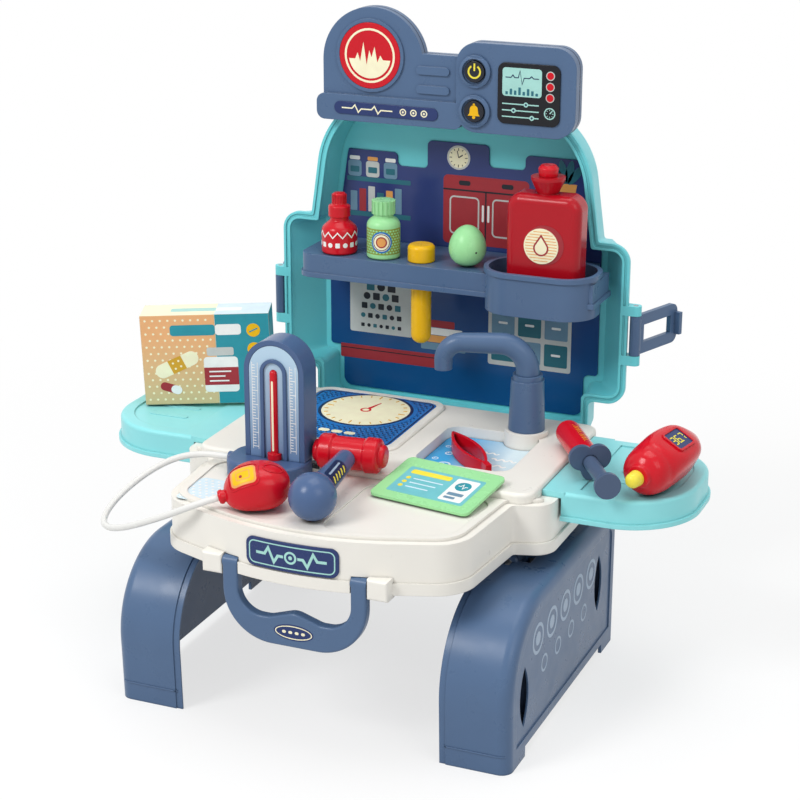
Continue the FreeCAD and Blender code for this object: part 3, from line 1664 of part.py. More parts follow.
def carton():
    # one end rests on the side tray, the other on the edge of the deck
    box = Part.makeBox(carton_width, carton_depth, carton_height)
    reach = (-deck_half - carton_x) / math.cos(math.radians(carton_yaw))
    box.rotate(vec(0, 0, 0), vec(0, 1, 0), -math.degrees(math.asin((deck_top - wing_top) / reach)))
    box.rotate(vec(0, 0, 0), vec(0, 0, 1), carton_yaw)
    box.translate(vec(carton_x, carton_y, wing_top + fit_gap))
    return box


def standing(shape, x, level):
    shape.translate(vec(x, shelf_row_y, level))
    return shape


def red_bottle():
    return standing(turned(red_bottle_radius, red_bottle_height, red_bottle_shares), red_bottle_x,
                    shelf_top)


def red_cap():
    return standing(turned(red_cap_radius, red_cap_height, red_cap_shares), red_bottle_x,
                    shelf_top + red_bottle_height)


def green_bottle():
    return standing(turned(green_bottle_radius, green_bottle_height, green_bottle_shares), green_bottle_x,
                    shelf_top)


def green_cap():
    core = Part.makeCylinder(green_cap_radius, green_cap_height)
    grooves = []
    for i in range(green_cap_ribs):
        angle = full_turn * i / green_cap_ribs
        place = heading(angle) * green_cap_radius
        grooves.append(Part.makeCylinder(green_cap_rib, green_cap_height, place))
    return standing(core.cut(grooves), green_bottle_x, shelf_top + green_bottle_height)


def test_tube():
    body = turned(tube_radius, tube_length, tube_shares)
    bore = Part.makeCylinder(tube_radius - tube_wall, tube_length, vec(0, 0, tube_radius))
    return standing(body.cut(bore), tube_x, shelf_top - tube_length)


def tube_cap():
    body = turned(tube_cap_radius, tube_cap_height, tube_cap_shares)
    return standing(body, tube_x, shelf_top)


def toy_egg():
    return standing(turned(egg_radius, egg_height, egg_shares), egg_x, shelf_top)


def hot_water_bag():
    bottom = cup_floor + wall
    y0 = bag_y - bag_thick / 2
    y1 = bag_y + bag_thick / 2
    top = bottom + bag_height
    low_half = bag_half * bag_taper_share
    corners = [(bag_x - low_half, bottom, bag_corner), (bag_x + low_half, bottom, bag_corner),
               (bag_x + bag_half, top - bag_shoulder, bag_corner), (bag_x + bag_neck_half + bag_corner,
                                                                    top, bag_corner / 2),
               (bag_x - bag_neck_half - bag_corner, top, bag_corner / 2), (bag_x - bag_half,
                                                                           top - bag_shoulder, bag_corner)]
    body = slab(corners, y0, y1)
    rounding = [edge for edge in body.Edges if edge.BoundBox.YLength < touch_tolerance]
    body = body.makeFillet(bag_edge, rounding)
    root = rod(vec(bag_x, bag_y, top - bag_edge), vec(bag_x, bag_y, top), bag_neck_half)
    collar_low = top + bag_neck_height - bag_collar_height
    funnel = Part.makeCone(bag_neck_half, bag_collar_half, collar_low - top, vec(bag_x, bag_y, top))
    collar = rod(vec(bag_x, bag_y, collar_low), vec(bag_x, bag_y, top + bag_neck_height), bag_collar_half)
    return body.fuse([root, funnel, collar])


def bag_stopper():
    base = cup_floor + wall + bag_height + bag_neck_height
    plug = turned(stopper_half, stopper_height, stopper_shares)
    plug.translate(vec(bag_x, bag_y, base))
    return plug


def bag_badge():
    y = bag_y - bag_thick / 2
    z = cup_floor + wall + bag_height / 2 + bag_corner / 2
    return rod(vec(bag_x, y - badge_disc_thick, z), vec(bag_x, y, z), badge_disc)


# Pieces of the set, by name
pieces = {
    "table_top": table_top(),
    "table_base": table_base(),
    "table_screws": table_screws(),
    "leg_pins": leg_pins(),
    "leg_right": leg_right(),
    "leg_left": flip(leg_right()),
    "handle": handle(),
    "handle_pins": handle_pins(),
    "front_badge": front_badge(),
    "scale_plate": scale_plate(),
    "water_sheet": water_sheet(),
    "faucet_column": faucet_column(),
    "faucet_spout": faucet_spout(),
    "wing_right": wing_right(),
    "wing_left": flip(wing_right()),
    "panel_shell": panel_shell(),
    "art_board": art_board(),
    "panel_pins": panel_pins(),
    "latch_right": latch_right(),
    "latch_left": flip(latch_right()),
    "latch_pins": latch_pins(),
    "shelf": shelf(),
    "sign_front": sign_front(),
    "sign_back": sign_back(),
    "sign_disc": sign_disc(),
    "sign_strip": sign_strip(),
    "monitor_screen": monitor_screen(),
    "power_button": power_button(),
    "bell_button": bell_button(),
    "sound_board": sound_board(),
    "battery_cells": battery_cells(),
    "speaker": speaker(),
    "gauge_base": gauge_base(),
    "gauge_tower": gauge_tower(),
    "gauge_scale": gauge_scale(),
    "gauge_column": gauge_column(),
    "air_hose": air_hose(),
    "squeeze_bulb": squeeze_bulb(),
    "hammer_handle": hammer_handle(),
    "hammer_head": hammer_head(),
    "tweezers": tweezers(),
    "id_card": id_card(),
    "syringe_barrel": syringe_barrel(),
    "syringe_flange": syringe_flange(),
    "syringe_plunger": syringe_plunger(),
    "thermometer_body": thermometer_body(),
    "thermometer_display": thermometer_display(),
    "thermometer_tip": thermometer_tip(),
    "carton": carton(),
    "red_bottle": red_bottle(),
    "red_cap": red_cap(),
    "green_bottle": green_bottle(),
    "green_cap": green_cap(),
    "test_tube": test_tube(),
    "tube_cap": tube_cap(),
    "toy_egg": toy_egg(),
    "hot_water_bag": hot_water_bag(),
    "bag_stopper": bag_stopper(),
    "bag_badge": bag_badge(),
}

# The origin lies on the floor, in the middle of the box that the set fills without its hose
filled = FreeCAD.BoundBox()
for name, shape in pieces.items():
    if name != "air_hose":
        filled.add(shape.optimalBoundingBox())
origin = vec((filled.XMin + filled.XMax) / 2, (filled.YMin + filled.YMax) / 2, filled.ZMin)
print("origin moved by", [round(value, 4) for value in (-origin.x, -origin.y, -origin.z)])

os.makedirs("parts", exist_ok=True)
for name, shape in pieces.items():
    shape.translate(origin * -1)
    shape.exportStep("parts/" + name + ".step")
    print(name, "solids", len(shape.Solids), "valid", shape.isValid(), "volume", round(shape.Volume, 1))
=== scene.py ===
import math
import bpy
import bmesh
from mathutils import Matrix, Vector
from mathutils.bvhtree import BVHTree
from mathutils.geometry import tessellate_polygon


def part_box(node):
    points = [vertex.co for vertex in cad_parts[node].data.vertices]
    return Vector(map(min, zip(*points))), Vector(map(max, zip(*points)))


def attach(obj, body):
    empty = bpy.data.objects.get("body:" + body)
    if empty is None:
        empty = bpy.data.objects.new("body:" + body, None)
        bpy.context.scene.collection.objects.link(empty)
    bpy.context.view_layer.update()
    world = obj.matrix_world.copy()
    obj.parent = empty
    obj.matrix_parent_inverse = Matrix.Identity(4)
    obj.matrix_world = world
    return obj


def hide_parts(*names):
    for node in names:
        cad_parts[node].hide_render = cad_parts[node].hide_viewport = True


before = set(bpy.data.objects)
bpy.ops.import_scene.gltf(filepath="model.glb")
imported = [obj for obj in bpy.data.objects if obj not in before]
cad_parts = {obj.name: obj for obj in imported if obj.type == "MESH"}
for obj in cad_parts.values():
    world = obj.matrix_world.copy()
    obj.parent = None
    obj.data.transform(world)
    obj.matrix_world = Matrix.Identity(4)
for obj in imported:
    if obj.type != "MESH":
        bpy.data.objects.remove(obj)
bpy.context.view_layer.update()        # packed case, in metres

mm = 0.001
right, back, above = Vector((1, 0, 0)), Vector((0, 1, 0)), Vector((0, 0, 1))
print("stage: frame loaded", len(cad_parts), "nodes")


def addObject(name, data):
    thing = bpy.data.objects.new(name, data)
    bpy.context.scene.collection.objects.link(thing)
    return thing


# camera at the photograph's angle
cameraSet = {"lens": 90.76, "sensor": 36.0, "place": (0.57503, -1.35030, 0.71719), "clip": (0.01, 60.0),
             "azimuth": 22.78, "elevation": 18.99, "roll": 0.12}


def makeCamera(s):
    az, el = math.radians(s["azimuth"]), math.radians(s["elevation"])
    across = Vector((math.cos(az), math.sin(az), 0.0))
    away = Vector((math.sin(az) * math.cos(el), -math.cos(az) * math.cos(el), math.sin(el)))
    turn = Matrix((across, away.cross(across), away)).transposed().to_4x4()
    data = bpy.data.cameras.new("photoCamera")
    data.lens, data.sensor_width = s["lens"], s["sensor"]
    data.clip_start, data.clip_end = s["clip"]
    camera = addObject("photoCamera", data)
    camera.matrix_world = Matrix.Translation(s["place"]) @ turn @ Matrix.Rotation(math.radians(s["roll"]), 4, "Z")
    bpy.context.scene.camera = camera


makeCamera(cameraSet)
print("stage: camera set")


# plain colours, as they look in daylight
shades = {
    "milk": "#f0ede5", "slate": "#536c8e", "deepSlate": "#4d5e7a", "lagoon": "#74dae2", "litLagoon": "#94e3e7",
    "cherry": "#cf0f22", "wine": "#b20f1f", "mint": "#a0e2a0", "butter": "#f4bd14", "navy": "#2a3a6c",
    "ink": "#15161c", "cream": "#fff5d2", "sky": "#b8d4e8", "pool": "#3fade8", "print": "#2573c0",
    "brick": "#a5343c", "ash": "#c9ccc9", "orange": "#e9a55c", "steel": "#9a9da3", "board": "#2c7a45",
    "vinyl": "#e6e6e3", "moss": "#8d9c3f", "petrol": "#2f96a6", "paleMint": "#a9dcd4", "coal": "#23262f",
    "boardBlue": "#14528a", "boardNavy": "#34427a", "gaugeBlue": "#6f8db5", "poolPale": "#d8ecf6",
    "gold": "#d9a531", "white": "#f6f6f3", "paleSlate": "#a3b6cc", "steelBlue": "#6f93ab", "dimTeal": "#2f6f7e",
    "inkBlue": "#17264f", "lemon": "#f3e24a", "apricot": "#f0b47e", "straw": "#d9c292",
    "toolSlate": "#4c648c", "pocket": "#27344a", "sea": "#74c3cb",
}


def linear(name, gain=1.0):
    text = shades[name].lstrip("#")
    parts = [int(text[i:i + 2], 16) / 255 for i in (0, 2, 4)]
    parts = [p / 12.92 if p <= 0.04045 else ((p + 0.055) / 1.055) ** 2.4 for p in parts]
    return tuple(min(1.0, p * gain) for p in parts) + (1.0,)


# node helpers: a node with its inputs set, a link by socket names, a mix of two colours
def addNode(tree, kind, operation=None, **inputs):
    node = tree.nodes.new("ShaderNode" + kind)
    if operation:
        node.operation = operation
    for key, value in inputs.items():
        node.inputs[key.replace("_", " ")].default_value = value
    return node


def join(source, output, target, socket):
    source.id_data.links.new(source.outputs[output], target.inputs[socket])


mixFirst, mixSecond, mixResult = 6, 7, 2  # colour sockets of a mix node


def mixColours(tree, first, second):
    node = tree.nodes.new("ShaderNodeMix")
    node.data_type = "RGBA"
    node.inputs[mixFirst].default_value = first
    node.inputs[mixSecond].default_value = second
    return node


def newFinish(name, sheen):
    material = bpy.data.materials.new(name)
    material.use_nodes = True
    tree = material.node_tree
    shader = tree.nodes["Principled BSDF"]
    shader.inputs["Specular IOR Level"].default_value = sheen
    return material, tree, shader, tree.nodes.new("ShaderNodeTexCoord")


def noiseNode(tree, where, **inputs):
    node = addNode(tree, "TexNoise", **inputs)
    join(where, "Object", node, "Vector")
    return node


# moulded plastic: cloudy shade, edges paler from wear and a painted highlight, crevices darkened by painted shade,
# faint grain and smears in the gloss
plasticSet = {"edge": 0.7 * mm, "edgeSamples": 10, "edgeTurn": (0.995, 0.80), "cloud": 26.0, "grain": 800.0,
              "grainDeep": 0.2 * mm,
              "smear": 60.0, "smearSpan": (0.3, 0.75), "smearGain": (0.82, 1.28), "scuff": 420.0, "sheen": 0.28,
              "wornAndLitGain": 1.55,
              "creviceShadeReach": 4.0 * mm, "creviceShadeSamples": 8, "creviceShadeSpan": (0.2, 0.74), "shade": 0.5}


def mouldedPlastic(name, shade, gloss, grain=0.02, wear=0.22, drift=0.06, fade=None):
    s = plasticSet
    material, tree, shader, where = newFinish(name, s["sheen"])
    cloud = noiseNode(tree, where, Scale=s["cloud"], Detail=4.0, Roughness=0.6)
    tint = mixColours(tree, linear(shade, 1 - drift), linear(shade, 1 + drift))
    join(cloud, "Fac", tint, 0)
    if fade:  # second shade, axis, start and end in mm
        other, axis, start, end = fade
        split = addNode(tree, "SeparateXYZ")
        along = addNode(tree, "MapRange", From_Min=start * mm, From_Max=end * mm)
        join(where, "Object", split, 0)
        join(split, axis, along, "Value")
        for socket, gain in ((mixFirst, 1 - drift), (mixSecond, 1 + drift)):
            blend = mixColours(tree, linear(shade, gain), linear(other, gain))
            join(along, "Result", blend, 0)
            join(blend, mixResult, tint, socket)
    soft = addNode(tree, "Bevel", Radius=s["edge"])  # rounds the moulding's sharp edges
    soft.samples = s["edgeSamples"]
    plain = addNode(tree, "NewGeometry")
    turn = addNode(tree, "VectorMath", "DOT_PRODUCT")
    join(soft, "Normal", turn, 0)
    join(plain, "Normal", turn, 1)
    # paler edges: partly wear, partly a painted highlight along the moulding's edges
    flat, sharp = s["edgeTurn"]
    edge = addNode(tree, "MapRange", From_Min=flat, From_Max=sharp, To_Min=0.0, To_Max=wear)
    join(turn, "Value", edge, "Value")
    scuff = noiseNode(tree, where, Scale=s["scuff"], Detail=3.0)
    wornAndLit = addNode(tree, "Math", "MULTIPLY")
    join(edge, "Result", wornAndLit, 0)
    join(scuff, "Fac", wornAndLit, 1)
    pale = mixColours(tree, linear(shade), linear(shade, s["wornAndLitGain"]))
    join(wornAndLit, "Value", pale, 0)
    join(tint, mixResult, pale, mixFirst)
    # painted shade: the base colour darkens towards half its value in crevices and where parts nearly touch
    near = addNode(tree, "AmbientOcclusion", Distance=s["creviceShadeReach"])
    near.samples = s["creviceShadeSamples"]
    join(plain, "True Normal", near, "Normal")
    closed, free = s["creviceShadeSpan"]
    openness = addNode(tree, "MapRange", From_Min=closed, From_Max=free)
    join(near, "AO", openness, "Value")
    deep = mixColours(tree, linear(shade, s["shade"]), linear(shade))
    join(openness, "Result", deep, 0)
    join(pale, mixResult, deep, mixSecond)
    join(deep, mixResult, shader, "Base Color")
    smear = noiseNode(tree, where, Scale=s["smear"], Detail=5.0, Roughness=0.65)
    (low, high), (least, most) = s["smearSpan"], s["smearGain"]
    matt = addNode(tree, "MapRange", From_Min=low, From_Max=high, To_Min=gloss * least, To_Max=gloss * most)
    join(smear, "Fac", matt, "Value")
    join(matt, "Result", shader, "Roughness")
    fine = noiseNode(tree, where, Scale=s["grain"], Detail=2.0)
    bump = addNode(tree, "Bump", Strength=grain, Distance=s["grainDeep"])
    join(fine, "Fac", bump, "Height")
    join(soft, "Normal", bump, "Normal")
    join(bump, "Normal", shader, "Normal")
    return material


# printing ink on film: fine speckle of the print, patches of thinner ink
inkSet = {"speckle": 2600.0, "speckleShare": 0.5, "patch": 90.0, "gloss": 0.34, "glossSpan": (0.3, 0.7),
          "glossGain": (0.85, 1.25),
          "sheen": 0.25, "drift": 0.07, "spread": (0.45, 1.05), "bump": 0.04, "bumpDeep": 0.1 * mm}


def printInk(name, shade):
    s = inkSet
    material, tree, shader, where = newFinish(name, s["sheen"])
    speckle = noiseNode(tree, where, Scale=s["speckle"], Detail=1.0)
    patch = noiseNode(tree, where, Scale=s["patch"], Detail=4.0)
    both = addNode(tree, "Math", "MULTIPLY_ADD")
    both.inputs[1].default_value = s["speckleShare"]
    join(speckle, "Fac", both, 0)
    join(patch, "Fac", both, 2)
    tint = mixColours(tree, linear(shade, 1 - s["drift"]), linear(shade, 1 + s["drift"]))
    low, high = s["spread"]
    spread = addNode(tree, "MapRange", From_Min=low, From_Max=high)
    join(both, "Value", spread, "Value")
    join(spread, "Result", tint, 0)
    join(tint, mixResult, shader, "Base Color")
    (low, high), (least, most) = s["glossSpan"], s["glossGain"]
    matt = addNode(tree, "MapRange", From_Min=low, From_Max=high, To_Min=s["gloss"] * least, To_Max=s["gloss"] * most)
    join(patch, "Fac", matt, "Value")
    join(matt, "Result", shader, "Roughness")
    bump = addNode(tree, "Bump", Strength=s["bump"], Distance=s["bumpDeep"])
    join(speckle, "Fac", bump, "Height")
    join(bump, "Normal", shader, "Normal")
    return material


# each plastic: shade, gloss, what else differs, and the solids that have it
plastics = {
    "milkShell": ("milk", 0.32, {"drift": 0.025, "wear": 0.10}, "table_top"),
    "slateShell": ("slate", 0.30, {"wear": 0.5},
                   "leg_right leg_left handle latch_right latch_left shelf sign_front sign_back "
                   "faucet_spout faucet_column"),
    "toolSlateGloss": ("toolSlate", 0.22, {"wear": 0.5}, "gauge_base gauge_tower hammer_handle"),
    # painted shadow in the leg slots and under the hinges; also the dark seam of the sign
    "pocketShade": ("pocket", 0.45, {}, ""),
    "deepSlateShell": ("deepSlate", 0.34, {}, "syringe_plunger syringe_flange table_base"),
    "lagoonShell": ("lagoon", 0.34, {}, "panel_shell"),
    # wings: the panel's teal plastic, painted paler as a lit copy for their top-lit faces
    "litLagoonShell": ("litLagoon", 0.34, {}, "wing_right wing_left"),
    "cherryGloss": ("cherry", 0.20, {},
                    "sign_disc squeeze_bulb hammer_head syringe_barrel thermometer_body red_bottle red_cap "
                    "gauge_column tweezers bag_stopper"),
    "wineGloss": ("wine", 0.22, {}, "hot_water_bag"),
    "mintGloss": ("mint", 0.26, {}, "id_card green_bottle green_cap toy_egg"),
    "lemonGloss": ("lemon", 0.26, {}, "thermometer_tip"),
    "butterGloss": ("butter", 0.26, {}, "test_tube tube_cap"),
    "navyGloss": ("navy", 0.28, {"wear": 0.12}, "front_badge sign_strip thermometer_display"),
    "coalGloss": ("coal", 0.24, {"wear": 0.12}, "power_button bell_button"),
    "inkGloss": ("ink", 0.22, {"wear": 0.10}, "monitor_screen speaker battery_cells"),
    "skyPlate": ("gaugeBlue", 0.30, {"drift": 0.04, "fade": ("sky", 2, 184, 262)}, "gauge_scale"),
    "poolFilm": ("pool", 0.20, {"drift": 0.12, "fade": ("poolPale", 0, 46, 88)}, "water_sheet"),
    "printFilm": ("print", 0.26, {"drift": 0.08}, "scale_plate"),
    "navyBoard": ("boardBlue", 0.20, {"drift": 0.08, "grain": 0.03, "fade": ("boardNavy", 2, 190, 300)}, "art_board"),
    "apricotPrint": ("straw", 0.50, {"grain": 0.10, "fade": ("apricot", 2, 178, 232)}, ""),
    "cartonBoard": ("cream", 0.55, {"grain": 0.12, "wear": 0.3}, "carton"),
    "pinSteel": ("steel", 0.30, {}, "table_screws leg_pins handle_pins panel_pins latch_pins"),
    "circuitBoard": ("board", 0.40, {}, "sound_board"),
    "softVinyl": ("vinyl", 0.38, {"drift": 0.02, "wear": 0.0}, "air_hose"),
}
inks = ("cream gold cherry white paleMint navy orange petrol moss ash coal paleSlate butter brick steelBlue sea "
        "dimTeal inkBlue lemon mint print poolPale")
inkNodes = {"creamInk": "bag_badge"}
finishes = {name: mouldedPlastic(name, shade, gloss, **more)
            for name, (shade, gloss, more, nodes) in plastics.items()}
finishes.update({ink + "Ink": printInk(ink + "Ink", ink) for ink in inks.split()})
finishes["pinSteel"].node_tree.nodes["Principled BSDF"].inputs["Metallic"].default_value = 1.0
print("stage: finishes made", len(finishes))


def finishNodes(finish, names):
    for node in names.split():
        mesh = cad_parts[node].data
        mesh.materials.clear()
        mesh.materials.append(finishes[finish])


for name, (shade, gloss, more, nodes) in plastics.items():
    finishNodes(name, nodes)
for name, nodes in inkNodes.items():
    finishNodes(name, nodes)
print("stage: solids finished")


# white air hose from the gauge to the squeeze bulb
hoseSet = {
    "diameter": 5.0 * mm, "length": 0.266, "smooth": (10, 6),
    "points": [(-99, -79.05, 178.2), (-111, -79.05, 178.2), (-124.5, -79.25, 177.0), (-139, -79.45, 173.2),
               (-153.5, -80.85, 166.6), (-166, -86.05, 158.6), (-175.8, -95.05, 150.2), (-181.6, -107.55, 143.0),
               (-182.8, -122.05, 137.0), (-178, -136.55, 134.2), (-167.5, -147.55, 135.4), (-153.5, -155.55, 140.0),
               (-138.5, -161.55, 146.6), (-123, -165.55, 154.0), (-107, -168.25, 161.8), (-91.5, -169.25, 169.6),
               (-77, -167.05, 176.4), (-65, -161.05, 180.4)],
}


def makeHose(s):
    curve = bpy.data.curves.new("airTube", "CURVE")
    curve.dimensions = "3D"
    spline = curve.splines.new("NURBS")
    spline.points.add(len(s["points"]) - 1)
    for point, place in zip(spline.points, s["points"]):
        point.co = (place[0] * mm, place[1] * mm, place[2] * mm, 1.0)
    spline.order_u = 3
    spline.use_endpoint_u = True
    spline.resolution_u, curve.bevel_resolution = s["smooth"]
    curve.bevel_depth = s["diameter"] / 2
    curve.use_fill_caps = True
    curve.materials.append(finishes["softVinyl"])
    hose = addObject("airTube", curve)
    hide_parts("air_hose")
    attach(hose, "cuff_gauge")


makeHose(hoseSet)
print("stage: hose laid")


# skins that are rounder than the solids: rings of points in mm, closed at both ends
rounded = {}


def addMesh(name, verts, faces, finish):
    mesh = bpy.data.meshes.new(name)
    mesh.from_pydata([v * mm for v in verts], [], faces)
    mesh.materials.append(finishes[finish])
    mesh.update()
    return mesh


def skinPiece(name, node, body, finish, shells):
    verts, faces = [], []
    for rings in shells:
        base, count = len(verts), len(rings[0])
        verts += [point for ring in rings for point in ring]
        faces += [[base + j for j in range(count)][::-1], [len(verts) - count + j for j in range(count)]]
        for i in range(len(rings) - 1):
            for j in range(count):
                a, b = base + i * count + j, base + i * count + (j + 1) % count
                faces.append([a, b, b + count, a + count])
    mesh = addMesh(name, verts, faces, finish)
    mesh.polygons.foreach_set("use_smooth", [len(face) == 4 for face in faces])
    piece = addObject(name, mesh)
    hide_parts(node)
    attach(piece, body)
    rounded[node] = piece


def fullTurn(count):
    return [2 * math.pi * j / count for j in range(count)]


def signedPower(value, power):
    return math.copysign(abs(value) ** power, value)


def levelAxes(degrees):
    c, s = math.cos(math.radians(degrees)), math.sin(math.radians(degrees))
    return Vector((c, s, 0)), Vector((-s, c, 0))


# soft squeeze bulb with the neck that the hose enters
bulbSkin = {"hoseEnd": (-65.0, -161.05, 180.4), "hoseWay": (12.0, 6.0, 4.0),
            "neck": ((0, 4.6), (1.2, 5.3), (2.6, 5.3), (3.6, 4.5), (12, 4.5)),
            "start": (-61.8, -159.4), "yaw": 38.0, "length": 48.0, "half": (21.5, 16.5), "low": 171.3, "dip": 4.3,
            "taper": 0.22,
            "crown": 2.3, "base": 3.2, "profile": 2.3, "rings": 36, "count": 48, "ends": (0.02, 0.96)}


def makeBulb(s):
    way = Vector(s["hoseWay"]).normalized()
    side = above.cross(way).normalized()
    rise = way.cross(side)
    turns = fullTurn(s["count"])
    neck = [[Vector(s["hoseEnd"]) + way * at + (side * math.cos(t) + rise * math.sin(t)) * radius for t in turns]
            for at, radius in s["neck"]]
    forward, across = levelAxes(s["yaw"])
    halfWide, halfTall = s["half"]
    first, span = s["ends"]
    skin = []
    for i in range(s["rings"] + 1):
        at = 0.5 - 0.5 * math.cos(math.pi * (first + span * i / s["rings"]))
        full = (1 - abs(2 * at - 1) ** s["profile"]) ** (1 / s["profile"])
        wide = halfWide * full * (1 - s["taper"] * (1 - at) ** 2)
        level = s["low"] + halfTall - s["dip"] * (1 - min(1.0, 2 * at)) ** 2
        ring = []
        for t in turns:
            power = 2 / (s["crown"] if math.sin(t) > 0 else s["base"])
            u = signedPower(math.cos(t), power) * wide
            v = signedPower(math.sin(t), power) * halfTall * full
            ring.append(Vector((*s["start"], level + v)) + forward * (at * s["length"]) + across * u)
        skin.append(ring)
    skinPiece("bulbSkin", "squeeze_bulb", "cuff_gauge", "cherryGloss", [neck, skin])


# smooth egg, wider below
eggSkin = {"place": (23.0, 101.95), "low": 296.0, "radius": 14.9, "height": 33.4, "swell": 0.12, "rings": 32,
           "count": 48,
           "ends": (0.03, 0.95)}


def makeEgg(s):
    x, y = s["place"]
    first, span = s["ends"]
    rings = []
    for i in range(s["rings"] + 1):
        turn = math.pi * (first + span * i / s["rings"])
        radius = s["radius"] * math.sin(turn) * (1 + s["swell"] * math.cos(turn))
        level = s["low"] + s["height"] / 2 * (math.cos(math.pi * first) - math.cos(turn))
        rings.append([Vector((x + radius * math.cos(t), y + radius * math.sin(t), level))
                      for t in fullTurn(s["count"])])
    skinPiece("eggSkin", "toy_egg", "egg", "mintGloss", [rings])


# thermometer that tapers to its end; profile: share of the length, radius, radius at the crest
thermoSkin = {"front": (207.3, -32.5, 191.4), "yaw": 79.0, "roll": 28.0, "length": 91.0, "count": 72, "low": 172.7,
              "flat": (0.53, 0.23), "square": 2.2,  # flattened facet that holds the display
              "profile": ((0.0, 8.0, 8.0), (0.012, 8.8, 8.8), (0.032, 8.8, 8.8), (0.04, 9.2, 9.2), (0.05, 11.4, 11.4),
                          (0.07, 14.0, 14.0), (0.10, 16.2, 16.2), (0.14, 17.6, 17.6), (0.18, 18.3, 18.3),
                          (0.21, 18.5, 18.5),
                          (0.222, 18.9, 19.2), (0.28, 19.0, 19.6), (0.36, 19.0, 19.8), (0.45, 18.9, 19.8),
                          (0.53, 18.6, 19.8),
                          (0.60, 18.0, 19.8), (0.66, 17.2, 19.7), (0.71, 16.2, 19.0), (0.76, 15.1, 17.6),
                          (0.83, 13.1, 14.8),
                          (0.89, 10.8, 11.8), (0.94, 8.0, 8.5), (0.975, 5.0, 5.2), (0.995, 2.0, 2.0))}


def thermoAxes(s):
    axis, side = levelAxes(s["yaw"])
    roll = math.radians(s["roll"])
    crest = above * math.cos(roll) - side * math.sin(roll)
    return axis, crest.cross(axis), crest


def makeThermometer(s):
    axis, side, crest = thermoAxes(s)
    middle, spread = s["flat"]
    rings = []
    for at, radius, top in s["profile"]:
        power = 2 / (2 + s["square"] * math.exp(-((at - middle) / spread) ** 4))
        ring = []
        for t in fullTurn(s["count"]):
            raised = math.sin(t) > 0
            u = signedPower(math.cos(t), power if raised else 1) * radius
            v = abs(math.sin(t)) ** power * top if raised else math.sin(t) * radius
            point = Vector(s["front"]) + axis * (at * s["length"]) + side * u + crest * v
            point.z = max(point.z, s["low"])
            ring.append(point)
        rings.append(ring)
    skinPiece("thermometerSkin", "thermometer_body", "thermometer", "cherryGloss", [rings])


makeBulb(bulbSkin)
makeEgg(eggSkin)
makeThermometer(thermoSkin)
print("stage: round skins made", len(rounded))


# outlines on a face, in mm: each is a list of corners, counter-clockwise
def oval(u, v, a, b, count=36):
    return [(u + a * math.cos(t), v + b * math.sin(t)) for t in fullTurn(count)]


def disc(u, v, radius, count=36):
    return oval(u, v, radius, radius, count)


def ring(u, v, radius, width):
    return [disc(u, v, radius), disc(u, v, radius - width)[::-1]]


def ovalRing(a, b, width, count):
    return [oval(0, 0, a, b, count), oval(0, 0, a - width, b - width, count)[::-1]]


def arc(u, v, radius, start, end, count=24):
    turns = [math.radians(start + (end - start) * i / count) for i in range(count + 1)]
    return [(u + radius * math.cos(t), v + radius * math.sin(t)) for t in turns]


def plate(u0, v0, u1, v1, radius=0.5, steps=5):
    quarters = ((u1 - radius, v1 - radius, 0), (u0 + radius, v1 - radius, 90), (u0 + radius, v0 + radius, 180),
                (u1 - radius, v0 + radius, 270))
    return [corner for u, v, start in quarters for corner in arc(u, v, radius, start, start + 90, steps)]


def border(u0, v0, u1, v1, radius, width):
    return [plate(u0, v0, u1, v1, radius), plate(u0 + width, v0 + width, u1 - width, v1 - width, radius - width)[::-1]]


def stroke(points, width):
    onLeft, onRight = [], []
    for i, here in enumerate(points):
        before, after = points[max(i - 1, 0)], points[min(i + 1, len(points) - 1)]
        sides = []
        for a, b in ((before, here), (here, after)):
            run = math.hypot(b[0] - a[0], b[1] - a[1])
            if run > 0:
                sides.append(((a[1] - b[1]) / run, (b[0] - a[0]) / run))
        mean = Vector((sum(n[0] for n in sides), sum(n[1] for n in sides))).normalized()
        reach = width / 2 / max(0.5, mean.dot(Vector(sides[0])))
        onLeft.append((here[0] + mean.x * reach, here[1] + mean.y * reach))
        onRight.append((here[0] - mean.x * reach, here[1] - mean.y * reach))
    return onRight + onLeft[::-1]


def turned(outline, u, v, degrees):
    c, s = math.cos(math.radians(degrees)), math.sin(math.radians(degrees))
    return [(u + a * c - b * s, v + a * s + b * c) for a, b in outline]


# faces that prints lie on: across, up and outward, in mm
rayReach = 80.0


def boxOf(node):
    low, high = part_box(node)
    return Vector(low) / mm, Vector(high) / mm, (Vector(low) + Vector(high)) / 2 / mm


def flatFace(origin, across, up):
    origin, across, up = Vector(origin), Vector(across).normalized(), Vector(up).normalized()
    out = across.cross(up)
    return lambda u, v, h: origin + across * u + up * v + out * h


def nodeTree(node):
    mesh = rounded.get(node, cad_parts[node]).data
    return BVHTree.FromPolygons([v.co / mm for v in mesh.vertices], [tuple(p.vertices) for p in mesh.polygons])


def overNode(node, origin, across, up, reach=rayReach):
    tree = nodeTree(node)
    flat = flatFace(origin, across, up)
    out = (flat(0, 0, 1) - flat(0, 0, 0)).normalized()

    def place(u, v, h):
        hit = tree.ray_cast(flat(u, v, reach), -out)[0]
        return (hit or flat(u, v, 0)) + out * h
    return place


def roundNode(node, radius, facing):
    tree = nodeTree(node)
    low, high, middle = boxOf(node)

    def place(u, v, h):
        turn = math.radians(facing) + u / radius
        out = Vector((math.cos(turn), math.sin(turn), 0))
        centre = Vector((middle.x, middle.y, low.z + v))
        hit = tree.ray_cast(centre + out * rayReach, -out)[0]
        return (hit or centre + out * radius) + out * h
    return place


def footOf(node):
    low, high, middle = boxOf(node)
    return Vector((middle.x, low.y, low.z))


def frontMiddle(node):
    low, high, middle = boxOf(node)
    return Vector((middle.x, low.y, middle.z))


